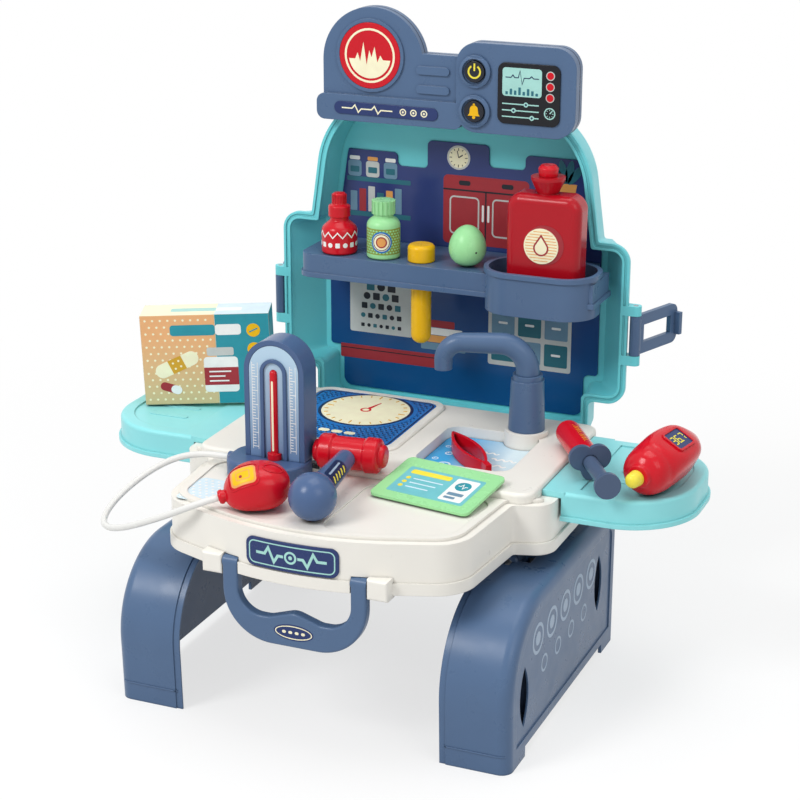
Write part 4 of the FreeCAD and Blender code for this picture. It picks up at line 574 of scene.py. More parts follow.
def frontOf(node):
    return flatFace(frontMiddle(node), right, above)


def overFront(node, front):
    return overNode(node, frontMiddle(front), right, above)


def topOf(node, rise=0.0):
    low, high, middle = boxOf(node)
    return flatFace((middle.x, middle.y, high.z + rise), right, back)


# thin films pressed on the faces: one mesh for each finish on each body
sink, first, second, third, fourth = 0.06, 0.12, 0.20, 0.28, 0.36
films = {}


def filmStore(body, finish):
    return films.setdefault((body, finish), ([], []))


def pressFilm(body, finish, loops, place, lift=first, sink=sink, step=None):
    if not isinstance(loops[0], list):
        loops = [loops]
    corners = [Vector((u, v, 0)) for loop in loops for u, v in loop]
    work = bmesh.new()
    points = [work.verts.new(corner) for corner in corners]
    for a, b, c in tessellate_polygon([[Vector((u, v, 0)) for u, v in loop] for loop in loops]):
        turn = (corners[b] - corners[a]).cross(corners[c] - corners[a]).z
        if abs(turn) > 1e-7:
            work.faces.new((points[a], points[b], points[c]) if turn > 0 else (points[a], points[c], points[b]))
    while step:
        longEdges = [e for e in work.edges if e.calc_length() > step]
        if not longEdges:
            break
        bmesh.ops.subdivide_edges(work, edges=longEdges, cuts=1)
        bmesh.ops.triangulate(work, faces=work.faces[:])
    work.verts.index_update()
    verts, faces = filmStore(body, finish)
    base, count = len(verts), len(work.verts)
    verts.extend(place(v.co.x, v.co.y, h) for h in (lift, -sink) for v in work.verts)
    for face in work.faces:
        ids = [v.index for v in face.verts]
        faces.append([base + i for i in ids])
        faces.append([base + count + i for i in reversed(ids)])
    for edge in work.edges:
        if len(edge.link_faces) == 1:
            loop = edge.link_loops[0]
            a, b = base + loop.vert.index, base + loop.link_loop_next.vert.index
            faces.append([a, a + count, b + count, b])
    work.free()


# node trees for what repeats: marks round a dial, marks along a scale, rows of dots
def newTree(name, sizes):
    tree = bpy.data.node_groups.new(name, "GeometryNodeTree")
    tree.interface.new_socket("Geometry", in_out="INPUT", socket_type="NodeSocketGeometry")
    for label, value in sizes.items():
        kind = "NodeSocketInt" if isinstance(value, int) else "NodeSocketFloat"
        tree.interface.new_socket(label, in_out="INPUT", socket_type=kind).default_value = value
    tree.interface.new_socket("Finish", in_out="INPUT", socket_type="NodeSocketMaterial")
    tree.interface.new_socket("Geometry", in_out="OUTPUT", socket_type="NodeSocketGeometry")
    return tree, tree.nodes.new("NodeGroupInput").outputs


def feed(node, values):
    for socket, value in values:
        if isinstance(value, (int, float)):
            node.inputs[socket].default_value = value
        else:
            node.id_data.links.new(value, node.inputs[socket])
    return node.outputs[0]


def growNode(tree, kind, **inputs):
    return feed(tree.nodes.new(kind), [(key.replace("_", " "), value) for key, value in inputs.items()])


def mathNode(tree, operation, *values):
    node = tree.nodes.new("ShaderNodeMath")
    node.operation = operation
    return feed(node, enumerate(values))


def vectorNode(tree, *values):
    return feed(tree.nodes.new("ShaderNodeCombineXYZ"), enumerate(values))


markRise = 0.45  # lifts a mark's middle by this share of its height, so a sliver stays sunk


def endTree(tree, given, points, shape, turn, size):
    spread = growNode(tree, "GeometryNodeInstanceOnPoints", Points=points, Instance=shape, Rotation=turn, Scale=size)
    real = growNode(tree, "GeometryNodeRealizeInstances", Geometry=spread)
    finished = growNode(tree, "GeometryNodeSetMaterial", Geometry=real, Material=given["Finish"])
    tree.links.new(finished, tree.nodes.new("NodeGroupOutput").inputs[0])
    return tree


def raised(tree, given, shape, shift=0.0):
    move = vectorNode(tree, shift, 0.0, mathNode(tree, "MULTIPLY", given["Height"], markRise))
    return growNode(tree, "GeometryNodeTransform", Geometry=shape, Translation=move)


def markShape(tree, given, share):
    size = vectorNode(tree, given["Length"], given["Width"], given["Height"])
    cube = growNode(tree, "GeometryNodeMeshCube", Size=size)
    return raised(tree, given, cube, mathNode(tree, "MULTIPLY", given["Length"], share))


def longerOnes(tree, given):
    index = tree.nodes.new("GeometryNodeInputIndex").outputs[0]
    isLong = mathNode(tree, "LESS_THAN", mathNode(tree, "FLOORED_MODULO", index, given["Long every"]), 0.5)
    extra = mathNode(tree, "MULTIPLY", isLong, mathNode(tree, "SUBTRACT", given["Long share"], 1.0))
    return vectorNode(tree, mathNode(tree, "ADD", extra, 1.0), 1.0, 1.0)


def dialTree():
    tree, given = newTree("dialMarks", {"Count": 24, "Radius": 30.0, "Length": 3.0, "Width": 0.7, "Height": 0.3,
                                        "Long every": 6, "Long share": 1.5})
    circle = growNode(tree, "GeometryNodeMeshCircle", Vertices=given["Count"], Radius=given["Radius"])
    aim = tree.nodes.new("FunctionNodeAlignRotationToVector")
    aim.axis = "X"
    aim.pivot_axis = "Z"
    turn = feed(aim, [("Vector", tree.nodes.new("GeometryNodeInputPosition").outputs[0])])
    return endTree(tree, given, circle, markShape(tree, given, -0.5), turn, longerOnes(tree, given))


def scaleTree():
    tree, given = newTree("scaleMarks", {"Count": 20, "Pitch": 2.0, "Length": 2.0, "Width": 0.5, "Height": 0.3,
                                         "Long every": 5, "Long share": 1.8})
    pitch = vectorNode(tree, 0.0, given["Pitch"], 0.0)
    line = growNode(tree, "GeometryNodeMeshLine", Count=given["Count"], Offset=pitch)
    still = tree.nodes.new("FunctionNodeEulerToRotation").outputs[0]
    return endTree(tree, given, line, markShape(tree, given, 0.5), still, longerOnes(tree, given))


def dotTree():
    tree, given = newTree("dotRows", {"Columns": 8, "Rows": 8, "Pitch X": 5.0, "Pitch Y": 5.0, "Radius": 1.0,
                                      "Height": 0.3, "Sides": 12, "Stretch": 1.0, "Turn": 0.0})
    steps = {count: mathNode(tree, "SUBTRACT", given[count], 1.0) for count in ("Columns", "Rows")}
    grid = growNode(tree, "GeometryNodeMeshGrid", Vertices_X=given["Columns"], Vertices_Y=given["Rows"],
                    Size_X=mathNode(tree, "MULTIPLY", steps["Columns"], given["Pitch X"]),
                    Size_Y=mathNode(tree, "MULTIPLY", steps["Rows"], given["Pitch Y"]))
    split = tree.nodes.new("ShaderNodeSeparateXYZ")
    feed(split, [(0, tree.nodes.new("GeometryNodeInputPosition").outputs[0])])
    row = mathNode(tree, "ADD", mathNode(tree, "DIVIDE", split.outputs["Y"], given["Pitch Y"]),
                   mathNode(tree, "MULTIPLY", steps["Rows"], 0.5))
    odd = mathNode(tree, "FLOORED_MODULO", mathNode(tree, "ROUND", row), 2.0)
    half = mathNode(tree, "MULTIPLY", given["Pitch X"], 0.5)
    slide = mathNode(tree, "MULTIPLY", mathNode(tree, "SUBTRACT", odd, 0.5), half)
    points = growNode(tree, "GeometryNodeSetPosition", Geometry=grid, Offset=vectorNode(tree, slide, 0.0, 0.0))
    column = growNode(tree, "GeometryNodeMeshCylinder", Vertices=given["Sides"], Radius=given["Radius"],
                      Depth=given["Height"])
    side = mathNode(tree, "SUBTRACT", mathNode(tree, "MULTIPLY", odd, 2.0), 1.0)
    turn = tree.nodes.new("FunctionNodeEulerToRotation")
    feed(turn, [(0, vectorNode(tree, 0.0, 0.0, mathNode(tree, "MULTIPLY", side, given["Turn"])))])
    return endTree(tree, given, points, raised(tree, given, column), turn.outputs[0],
                   vectorNode(tree, given["Stretch"], 1.0, 1.0))


trees = {"dial": dialTree(), "scale": scaleTree(), "dots": dotTree()}


def growMarks(kind, body, finish, place, at, sizes):
    tree = trees[kind]
    seed = bpy.data.meshes.new("markSeed")
    holder = addObject("markSeed", seed)
    modifier = holder.modifiers.new("marks", "NODES")
    modifier.node_group = tree
    given = {"Finish": finishes[finish], **sizes}
    for item in tree.interface.items_tree:
        if item.in_out == "INPUT" and item.name in given:
            modifier[item.identifier] = given[item.name]
    grown = bpy.data.meshes.new_from_object(holder.evaluated_get(bpy.context.evaluated_depsgraph_get()))
    holder.modifiers.remove(modifier)
    verts, faces = filmStore(body, finish)
    base = len(verts)
    verts.extend(place(v.co.x + at[0], v.co.y + at[1], v.co.z) for v in grown.vertices)
    faces.extend([base + i for i in p.vertices] for p in grown.polygons)
    bpy.data.objects.remove(holder)
    for mesh in (seed, grown):
        bpy.data.meshes.remove(mesh)


# prints of a piece: rows of films and of marks, by name
def inked(finish, *shapes, lift=first, sink=sink, step=None):
    return [(finish, shape, lift, sink, step) for shape in shapes]


def marks(finish, kind, at, **sizes):
    return [(finish, kind, at, {key.replace("_", " "): value for key, value in sizes.items()})]


def dress(s):
    for rows in s["prints"].values():
        for finish, shape, *more in rows:
            if isinstance(shape, str):
                growMarks(shape, s["body"], finish, s["face"], *more)
            else:
                pressFilm(s["body"], finish, shape, s["face"], *more)


print("stage: mark trees built")


# dark parting line round the sign, where its two halves meet
seamSet = {"half": 0.5, "out": 0.1, "in": 0.3, "near": 1e-6}


def flatLoops(mesh, level, near):  # outlines of the flat at this level, from its free edges
    keys = [(round(v.co.x / mm, 3), round(v.co.z / mm, 3)) for v in mesh.vertices]
    free = {}
    for face in mesh.polygons:
        ids = list(face.vertices)
        if all(abs(mesh.vertices[i].co.y - level) < near for i in ids):
            for i, j in zip(ids, ids[1:] + ids[:1]):
                if not free.pop((keys[j], keys[i]), False):
                    free[(keys[i], keys[j])] = True
    after, loops = dict(free.keys()), []
    while after:
        start, here = next(iter(after.items()))
        loop = [start]
        del after[start]
        while here != start and here in after:
            loop.append(here)
            here = after.pop(here)
        loops.append(loop)
    return loops


def dressSeam(s):
    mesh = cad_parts["sign_front"].data
    level = max(v.co.y for v in mesh.vertices)
    loops = flatLoops(mesh, level, s["near"])
    rim = max(loops, key=lambda loop: max(x for x, z in loop) - min(x for x, z in loop))
    if sum(a[0] * b[1] - b[0] * a[1] for a, b in zip(rim, rim[1:] + rim[:1])) < 0:
        rim = rim[::-1]
    verts, faces = filmStore("sign", "pocketShade")
    base, count = len(verts), len(rim)
    section = ((-s["half"], s["out"]), (s["half"], s["out"]), (s["half"], -s["in"]), (-s["half"], -s["in"]))
    for i, (x, z) in enumerate(rim):
        run = (Vector(rim[(i + 1) % count]) - Vector(rim[i - 1])).normalized()
        verts.extend(Vector((x + run.y * out, level / mm + deep, z - run.x * out)) for deep, out in section)
    for i in range(count):
        here, ahead = base + i * 4, base + (i + 1) % count * 4
        for j in range(4):
            k = (j + 1) % 4
            faces.append([here + j, here + k, ahead + k, ahead + j])


dressSeam(seamSet)

# red disc of the sign: ring and a pulse that fills the lower half
pulse = [(11.4, -3), (9.2, 0.6), (6.6, -5), (4.2, 7.2), (1.6, -1.2), (-0.4, 4.2), (-2.6, -7.5), (-5.4, 10.5),
         (-8.2, -5), (-10.4, 2.0), (-12.5, -3)]
discSet = {"body": "sign", "face": frontOf("sign_disc"), "prints": {
    "ring": inked("creamInk", ring(0, 0, 21.6, 1.7)),
    "bowl": inked("creamInk", arc(0, 0, 18.0, 189.594068, 350.405932) + pulse)}}
dress(discSet)

# strip under the disc: a line with two beats, three ringed dots
stripSet = {"body": "sign", "face": frontOf("sign_strip"), "prints": {
    "line": inked("creamInk", stroke([(-38, 0), (-29, 0), (-26.5, 2.8), (-23.5, -2.9), (-21, 0), (-12, 0), (-9.5, 2.8),
                                      (-6.5, -2.9), (-4, 0), (6, 0)], 1.0)),
    "rings": inked("creamInk", *[ring(u, 0, 2.8, 0.9) for u in (15, 24, 33)]),
    "dots": inked("creamInk", *[disc(u, 0, 0.9, 16) for u in (15, 24, 33)])}}
dress(stripSet)

# collars round the two buttons, power and bell marks on them
for button in ("power_button", "bell_button"):
    dress({"body": "sign", "face": overFront("sign_front", button), "prints": {
        "collar": inked("slateShell", ring(0, 0, 12.8, 2.7), lift=2.2, sink=0.3)}})
powerSet = {"body": "power", "face": frontOf("power_button"), "prints": {
    "arc": inked("lemonInk", stroke(arc(0, 0, 4.8, 122, 418), 1.35)),
    "stem": inked("lemonInk", stroke([(0, 0.6), (0, 6.4)], 1.35))}}
dress(powerSet)
bellSet = {"body": "bell", "face": frontOf("bell_button"), "prints": {
    "dome": inked("butterInk", [(-5.0, -3.4), (5.0, -3.4), (3.7, -1.6), (3.3, 1.6)] + arc(0, 1.6, 3.3, 0, 180)[1:]
                  + [(-3.7, -1.6)]),
    "clapper": inked("butterInk", disc(0, -4.5, 1.3, 18)),
    "loop": inked("butterInk", disc(0, 5.5, 0.9, 14))}}
dress(bellSet)

# monitor: pale screen with a trace and bars, sliders below, red lamps and a small dial at the side
knobs, lamps = ((-2, -8), (-12, -13), (3, -18)), ((17.4, 15.5), (17.4, 7.0), (17.4, -1.5))
barStart, barPitch, barWidth, barLow, barHeights = -18.9, 3.5, 2.0, -0.8, (2.4, 4.6, 3.4, 6.0, 2.8, 5.2, 3.8, 2.2)
screenSet = {"body": "sign", "face": frontOf("monitor_screen"), "prints": {
    "pane": inked("paleMintInk", plate(-21.5, -2.0, 10.5, 20.0, 2.6)),
    "trace": inked("inkBlueInk", stroke([(-19, 12.5), (-14.5, 12.5), (-13, 14.5), (-11.5, 12.5), (-8.6, 12.5),
                                         (-7.2, 17.9), (-5.4, 7.5), (-3.8, 12.5), (0.6, 12.5), (2.2, 14.1),
                                         (3.8, 12.5), (8.2, 12.5)], 0.75), lift=second),
    "bars": inked("dimTealInk", *[plate(barStart + barPitch * i, barLow, barStart + barPitch * i + barWidth,
                                        barLow + tall, 0.3, 2) for i, tall in enumerate(barHeights)], lift=second),
    "sliders": inked("paleMintInk", *[stroke([(-21.5, v), (8.5, v)], 0.9) for u, v in knobs]),
    "knobs": inked("paleMintInk", *[disc(*knob, 1.9, 20) for knob in knobs], lift=second),
    "knobDots": inked("inkBlueInk", *[disc(*knob, 0.9, 14) for knob in knobs], lift=third),
    "lampRims": inked("ashInk", *[disc(*lamp, 3.5) for lamp in lamps]),
    "lamps": inked("cherryInk", *[disc(*lamp, 2.8) for lamp in lamps], lift=second),
    "dial": inked("paleMintInk", ring(17.4, -13.5, 4.6, 0.9), stroke([(17.4, -13.5), (19.6, -11.0)], 0.8)),
    "dialMarks": marks("paleMintInk", "dial", (17.4, -13.5), Count=8, Radius=3.2, Length=0.8, Width=0.5, Height=0.15)}}
dress(screenSet)

# navy badge at the front: border, beat and ring
beat = [(-27.5, 0), (-20.5, 0), (-17.5, 5.0), (-13.0, -5.2), (-9.8, 0), (-5.6, 0)]
badgeSet = {"body": "table", "face": overFront("front_badge", "front_badge"), "prints": {
    "border": inked("paleMintInk", border(-33.6, -8.8, 33.6, 8.8, 4.6, 0.9), step=3.0),
    "beats": inked("paleMintInk", stroke(beat, 2.1), stroke([(-u, v) for u, v in beat[::-1]], 2.1), step=3.0),
    "ring": inked("paleMintInk", ring(0, 0, 4.8, 1.6), disc(0, 0, 1.5, 18), step=3.0)}}
dress(badgeSet)

# oval plate on the grip
gripSet = {"body": "carry_handle", "face": overNode("handle", footOf("handle") + above * 12.2, right, above),
           "prints": {
    "plate": inked("navyInk", oval(0, 0, 15.6, 6.2, 48), step=4.0),
    "line": inked("creamInk", ovalRing(14.6, 5.2, 0.8, 48), lift=second),
    "dashes": inked("creamInk", *[plate(u - 1.5, -1.1, u + 1.5, 1.1, 1.0, 3) for u in (-7.5, -2.5, 2.5, 7.5)],
                    lift=second)}}
dress(gripSet)

# weighing dial: woven blue field, dark ring, cream dial with gold marks and a red hand
hub = (2.2, 19.1)
hand = [(-2.2, -1.6), (3.4, -1.7), (20.5, -0.5), (20.5, 0.5), (3.4, 1.7), (-2.2, 1.6)]
dialSet = {"body": "table", "face": topOf("scale_plate"), "prints": {
    "weave": marks("inkBlueInk", "dots", (0, 0), Columns=20, Rows=30, Pitch_X=4.7, Pitch_Y=3.45, Radius=1.9,
                   Height=0.16, Sides=4, Stretch=0.42, Turn=0.62),
    "frame": inked("inkBlueInk", border(-50.4, -54.4, 50.4, 54.4, 8.6, 1.2), lift=second),
    "rim": inked("printInk", disc(*hub, 42.1, 72), lift=0.18),
    "darkRing": inked("inkBlueInk", disc(*hub, 38.7, 72), lift=0.24),
    "dial": inked("creamInk", disc(*hub, 36.1, 72), lift=0.30),
    "ticks": marks("goldInk", "dial", hub, Count=24, Radius=33.9, Length=3.2, Width=0.75, Height=0.74,
                   Long_every=6, Long_share=1.7),
    "hand": inked("cherryInk", turned(hand, *hub, 75.0), lift=0.40),
    "hub": inked("cherryInk", ring(*hub, 4.6, 1.7), lift=0.44) + inked("creamInk", disc(*hub, 2.6, 24), lift=0.48),
    "tag": inked("creamInk", disc(-34, -36, 5.4), *[plate(u, -39, u + 9, -33, 2.6) for u in (-25, -14, -3, 8)],
                 lift=second),
    "tagRing": inked("inkBlueInk", ring(-34, -36, 3.9, 1.1), lift=third)}}
dress(dialSet)

# water sheet: bubbles with a glint, ripples
bubbles = ((-29, -30, 3.6), (-20, -22, 5.4), (-31, -12, 2.6), (-12, -33, 2.4), (-25, 2, 3.2), (-6, -25, 1.8),
           (-31, 16, 2.2))
ripples = ((0, -31, 30, 2.2), (6, -21, 26, 2.0), (2, -10, 24, 1.8), (10, 3, 20, 2.0), (-8, 14, 20, 1.6))
waveSteps, waveTall, waveTurn = 24, 1.6, 0.8
waves = [stroke([(u + reach * i / waveSteps, v + waveTall * math.sin(i * waveTurn))
                 for i in range(waveSteps + 1)], width)
         for u, v, reach, width in ripples]
waterSet = {"body": "table", "face": topOf("water_sheet"), "prints": {
    "bubbles": inked("poolPaleInk", *[ring(u, v, size, size * 0.3) for u, v, size in bubbles]),
    "glints": inked("poolPaleInk", *[disc(u - size * 0.25, v + size * 0.25, size * 0.22, 12)
                                     for u, v, size in bubbles]),
    "ripples": inked("whiteInk", *waves)}}
dress(waterSet)

# cuff gauge: slate arch over the ridge, white scales, pale line in the column
archTop, archOuter, archInner, archFoot = 67.5, 10.62, 7.98, 0.05
arch = [(archOuter, archFoot)] + arc(0, archTop, archOuter, 0, 180, 32)
arch += [(-archOuter, archFoot), (-archInner, archFoot)]
arch += arc(0, archTop, archInner, 180, 0, 32) + [(archInner, archFoot)]
scaleSet = {"Count": 30, "Pitch": 2.2, "Length": 2.4, "Width": 0.55, "Height": 0.2, "Long_every": 5, "Long_share": 1.8}
gaugeSet = {"body": "cuff_gauge", "face": flatFace(footOf("gauge_scale") + back * 1.6, right, above), "prints": {
    "arch": inked("toolSlateGloss", arch, lift=1.72, sink=0.05),
    "scales": marks("whiteInk", "scale", (13.2, 8.0), **scaleSet)
    + marks("whiteInk", "scale", (-17.6, 8.0), **scaleSet),
    "scaleLines": inked("whiteInk", *[stroke([(u, 6.0), (u, 74.0)], 0.4) for u in (13.2, 17.8, -13.2, -17.8)])}}
dress(gaugeSet)
columnSet = {"body": "cuff_gauge", "face": overNode("gauge_column", footOf("gauge_column"), right, above), "prints": {
    "line": inked("creamInk", plate(-0.8, 7.0, 0.8, 62.0, 0.7, 3), step=6.0)}}
dress(columnSet)

# printed carton: dotted orange part, teal part, simple pharmacy things
cartonSet = {"corner": (-224.0, 13.4514, 173.3), "yaw": 21.0, "lean": 2.1524, "size": (105.0, 31.0, 76.0),
             "split": 60.9, "inset": 0.15}
plaster, capsule = (28, 34, 24), (22, 14, -18)
cartonFront = {
    "dots": marks("creamInk", "dots", (30.45, 38.0), Columns=9, Rows=13, Pitch_X=6.2, Pitch_Y=5.6, Radius=1.0,
                  Height=0.14, Sides=8),
    "band": inked("petrolInk", plate(24, 58.5, 60.9, 67.5, 2.5), lift=second)
    + inked("whiteInk", plate(60.9, 58.5, 82, 67.5, 2.5), lift=second),
    "plaster": inked("creamInk", turned(plate(-19, -6, 19, 6, 5.8), *plaster), lift=second)
    + inked("goldInk", turned(plate(-6, -6, 6, 6, 0.4), *plaster), lift=third)
    + inked("creamInk", *[turned(disc(u, v, 0.9, 12), *plaster) for v in (-2.5, 2.5) for u in (-2.5, 2.5)],
            lift=fourth),
    "capsule": inked("brickInk", turned(plate(-9, -3.6, 9, 3.6, 3.5), *capsule), lift=second)
    + inked("whiteInk", turned(plate(0, -3.6, 9, 3.6, 3.5), *capsule), lift=third),
    "jar": inked("whiteInk", plate(50, 10, 78, 40, 3.0), lift=second)
    + inked("ashInk", plate(53, 41, 75, 48, 1.6), lift=second)
    + inked("brickInk", plate(50, 16, 78, 31, 0.4), lift=third)
    + inked("whiteInk", *[stroke([(54, v), (end, v)], 1.2) for v, end in ((27.5, 72), (23.5, 67), (19.5, 70))],
            lift=fourth),
    "tablets": inked("butterInk", *[disc(92, v, 5.6) for v in (62, 46, 30)], lift=second),
    "grooves": inked("petrolInk", *[stroke([(88.6, v - 1.5), (95.4, v + 1.5)], 1.1) for v in (62, 46, 30)], lift=third)}


def dressCarton(s):
    turn = Matrix.Rotation(math.radians(s["yaw"]), 3, "Z") @ Matrix.Rotation(-math.radians(s["lean"]), 3, "Y")
    along, deep, tall = turn @ right, turn @ back, turn @ above
    corner, edge, cut = Vector(s["corner"]), s["inset"], s["split"]
    w, d, t = s["size"]
    front, top = flatFace(corner, along, tall), flatFace(corner + tall * t, along, deep)
    rear = flatFace(corner + along * w + deep * d, -along, tall)
    leftEnd, rightEnd = flatFace(corner + deep * d, -deep, tall), flatFace(corner + along * w, deep, tall)
    warm, cool = "apricotPrint", "petrolInk"
    for face, ink, u0, v0, u1, v1 in (
            (front, warm, edge, edge, cut - edge, t - edge), (front, cool, cut + edge, edge, w - edge, t - edge),
            (rear, cool, edge, edge, w - cut - edge, t - edge), (rear, warm, w - cut + edge, edge, w - edge, t - edge),
            (leftEnd, warm, edge, edge, d - edge, t - edge), (rightEnd, cool, edge, edge, d - edge, t - edge),
            (top, "creamInk", edge, edge, cut, d - edge), (top, "poolPaleInk", cut, edge, w - edge, d - edge)):
        pressFilm("box_carton", ink, plate(u0, v0, u1, v1, 0.1, 1), face, 0.08)
    dress({"body": "box_carton", "face": top, "prints": {
        "band": inked("paleMintInk", plate(24, 10, cut, 19, 1.5)) + inked("whiteInk", plate(cut, 10, 82, 19, 1.5))}})
    dress({"body": "box_carton", "face": front, "prints": cartonFront})


dressCarton(cartonSet)

# card: teal label, yellow bar, lines and a pale panel
cardPlace = {"at": (63.0, -99.5486, 171.3), "yaw": math.radians(-9.0), "lean": math.radians(8.792), "thick": 2.2}
cardTurn = Matrix.Rotation(cardPlace["yaw"], 3, "Z") @ Matrix.Rotation(cardPlace["lean"], 3, "X")
cardTop = Vector(cardPlace["at"]) + cardTurn @ above * cardPlace["thick"]
cardSet = {"body": "card", "face": flatFace(cardTop, cardTurn @ right, cardTurn @ back), "prints": {
    "label": inked("seaInk", plate(-32, 9, 32, 47, 1.6)),
    "bar": inked("lemonInk", plate(-28, 37.5, 6, 43.5, 1.8), *[disc(-25.5, v, 1.9, 20) for v in (31, 25, 19)],
                 lift=second),
    "lines": inked("poolPaleInk", *[stroke([(-21, v), (end, v)], 1.3) for v, end in ((31, 4), (25, 1), (19, -2))],
                   lift=second),
    "panel": inked("whiteInk", plate(10, 12, 29, 44, 1.6), lift=second)
    + inked("petrolInk", disc(19.5, 34, 6.2), lift=third),
    "beat": inked("whiteInk", stroke([(15.5, 34), (17.6, 34), (18.8, 37), (20.4, 31), (21.6, 34), (23.5, 34)], 0.9),
                  lift=fourth),
    "words": inked("steelBlueInk", plate(13, 20, 26, 24, 0.8), plate(13, 15, 22, 18, 0.8), lift=third)}}
dress(cardSet)

# label along the hammer's handle
hammerPlace = {"ball": (5.0, -152.0486, 188.8), "yaw": 96.0, "rise": math.radians(1.27), "out": (0.74, 0.08, 0.67)}
hammerWay = levelAxes(hammerPlace["yaw"])[0] * math.cos(hammerPlace["rise"]) + above * math.sin(hammerPlace["rise"])
hammerUp = Vector(hammerPlace["out"]).cross(hammerWay)
dash = plate(-2.6, -1.0, 2.6, 1.0, 0.7, 2)
hammerSet = {"body": "hammer", "face": overNode("hammer_handle", hammerPlace["ball"], hammerWay, hammerUp), "prints": {
    "label": inked("inkBlueInk", plate(19.0, -6.2, 52.0, 6.2, 3.5), step=2.5),
    "dashes": inked("lemonInk", *[turned(dash, 24.0 + 5.8 * i, -2.6, 62) for i in range(5)], lift=second, step=2.0),
    "line": inked("paleSlateInk", plate(23.0, 2.2, 48.0, 3.6, 0.6, 2), lift=second, step=2.5)}}
dress(hammerSet)


# squeeze bulb: raised frame, yellow label and a raised oval
def overBulb(spot, out):
    along, out = levelAxes(bulbSkin["yaw"])[0], Vector(out).normalized()
    across = (along - out * along.dot(out)).normalized()
    return overNode("squeeze_bulb", spot, across, out.cross(across))


bulbSet = {"body": "cuff_gauge", "face": overBulb((-49.2, -147.2, 187.8), (0.15, -0.70, 0.70)), "prints": {
    "frame": inked("cherryGloss", border(-12.0, -10.2, 12.0, 10.2, 5.0, 1.0), lift=0.5, sink=0.2, step=2.5),
    "edge": inked("orangeInk", plate(-9.6, -8.0, 9.6, 8.0, 3.4), step=2.5),
    "label": inked("butterInk", plate(-8.2, -6.6, 8.2, 6.6, 2.6), lift=second, step=2.5),
    "line": inked("orangeInk", border(-5.4, -4.0, 5.4, 4.0, 1.6, 0.8), lift=third, step=2.5),
    "dot": inked("brickInk", disc(-1.6, -1.0, 1.2, 14), lift=fourth)}}
dress(bulbSet)
crestSet = {"body": "cuff_gauge", "face": overBulb((-31.4, -139.7, 187.8), (0.10, -0.30, 0.95)), "prints": {
    "oval": inked("cherryGloss", ovalRing(7.4, 5.4, 1.0, 40), lift=0.5, sink=0.2, step=2.5)}}
dress(crestSet)

# thermometer: display plate in a raised frame, with a lit number
thermoSet = {"at": 0.50, "rise": 20.2, "thick": 3.0, "digit": (1.9, 3.4, 0.5), "line": 0.95,
             "digits": ((-6.2, "abgcd"), (-0.4, "afgedc"), (6.2, "abc"))}  # where each stands, its lit segments


def dressThermometer(s):
    axis, side, crest = thermoAxes(thermoSkin)
    origin = Vector(thermoSkin["front"]) + axis * (s["at"] * thermoSkin["length"]) + crest * s["rise"]
    face, window = flatFace(origin, axis, side), plate(-10.6, -8.0, 10.6, 8.0, 1.6)
    skinPiece("thermometerDisplay", "thermometer_display", "thermometer", "navyGloss",
              [[[face(u, v, h) for u, v in window] for h in (-s["thick"], 0.0)]])
    w, t, gap = s["digit"]
    lines = {"a": [(-w, t), (w, t)], "b": [(w, t - gap), (w, gap)], "c": [(w, -gap), (w, gap - t)],
             "d": [(-w, -t), (w, -t)], "e": [(-w, -gap), (-w, gap - t)], "f": [(-w, t - gap), (-w, gap)],
             "g": [(-w, 0), (w, 0)]}
    number = [stroke([(u + at, v) for u, v in lines[name]], s["line"]) for at, names in s["digits"] for name in names]
    dress({"body": "thermometer", "face": face, "prints": {
        "frame": inked("cherryGloss", [plate(-12.4, -9.8, 12.4, 9.8, 3.6), window[::-1]], lift=0.7, sink=5.2),
        "number": inked("lemonInk", *number, disc(2.7, -t, 0.7, 12))}})


dressThermometer(thermoSet)

# syringe: yellow marks along the barrel
barrelMouth, barrelWay = (161.567, -2.957, 187.3), Vector((-0.5358, 0.8443, 0.0))
barrelSide = barrelWay.cross(Vector((0.42, 0.10, 0.90)))  # square to where the marks face
syringeSet = {"body": "syringe", "face": overNode("syringe_barrel", barrelMouth, barrelSide, barrelWay), "prints": {
    "marks": marks("butterInk", "scale", (-4.0, 16.0), Count=11, Pitch=3.6, Length=3.4, Width=0.8, Height=0.22,
                   Long_every=5, Long_share=1.9)}}
dress(syringeSet)

# red bottle: zigzag, dots and plates round it; grooves round its cap
redRound = {"radius": 14.6, "facing": -72.0, "share": 0.62, "turns": 14, "levels": (14.5, 19.0), "signs": 9}
reach = math.pi * redRound["radius"] * redRound["share"]
zigzag = [(-reach + 2 * reach * i / redRound["turns"], redRound["levels"][i % 2]) for i in range(redRound["turns"] + 1)]
signs = [-reach + reach * 2 * (i + 0.5) / redRound["signs"] for i in range(redRound["signs"])]
redFace = roundNode("red_bottle", redRound["radius"], redRound["facing"])
redBottleSet = {"body": "bottle_red", "face": redFace, "prints": {
    "zigzag": inked("whiteInk", stroke(zigzag, 0.9), step=2.0),
    "plates": inked("whiteInk", *[plate(u - 1.9, 6.5, u + 1.9, 10.5, 0.6, 2) for u in signs[::2]], step=2.0),
    "dots": inked("whiteInk", *[disc(u, 8.5, 2.0, 16) for u in signs[1::2]], step=2.0)}}
dress(redBottleSet)
redCapSet = {"body": "bottle_red", "face": topOf("red_cap", -9.6), "prints": {
    "grooves": marks("cherryGloss", "dial", (0, 0), Count=18, Radius=6.1, Length=0.8, Width=0.9, Height=8.0,
                     Long_every=99, Long_share=1.0)}}
dress(redCapSet)

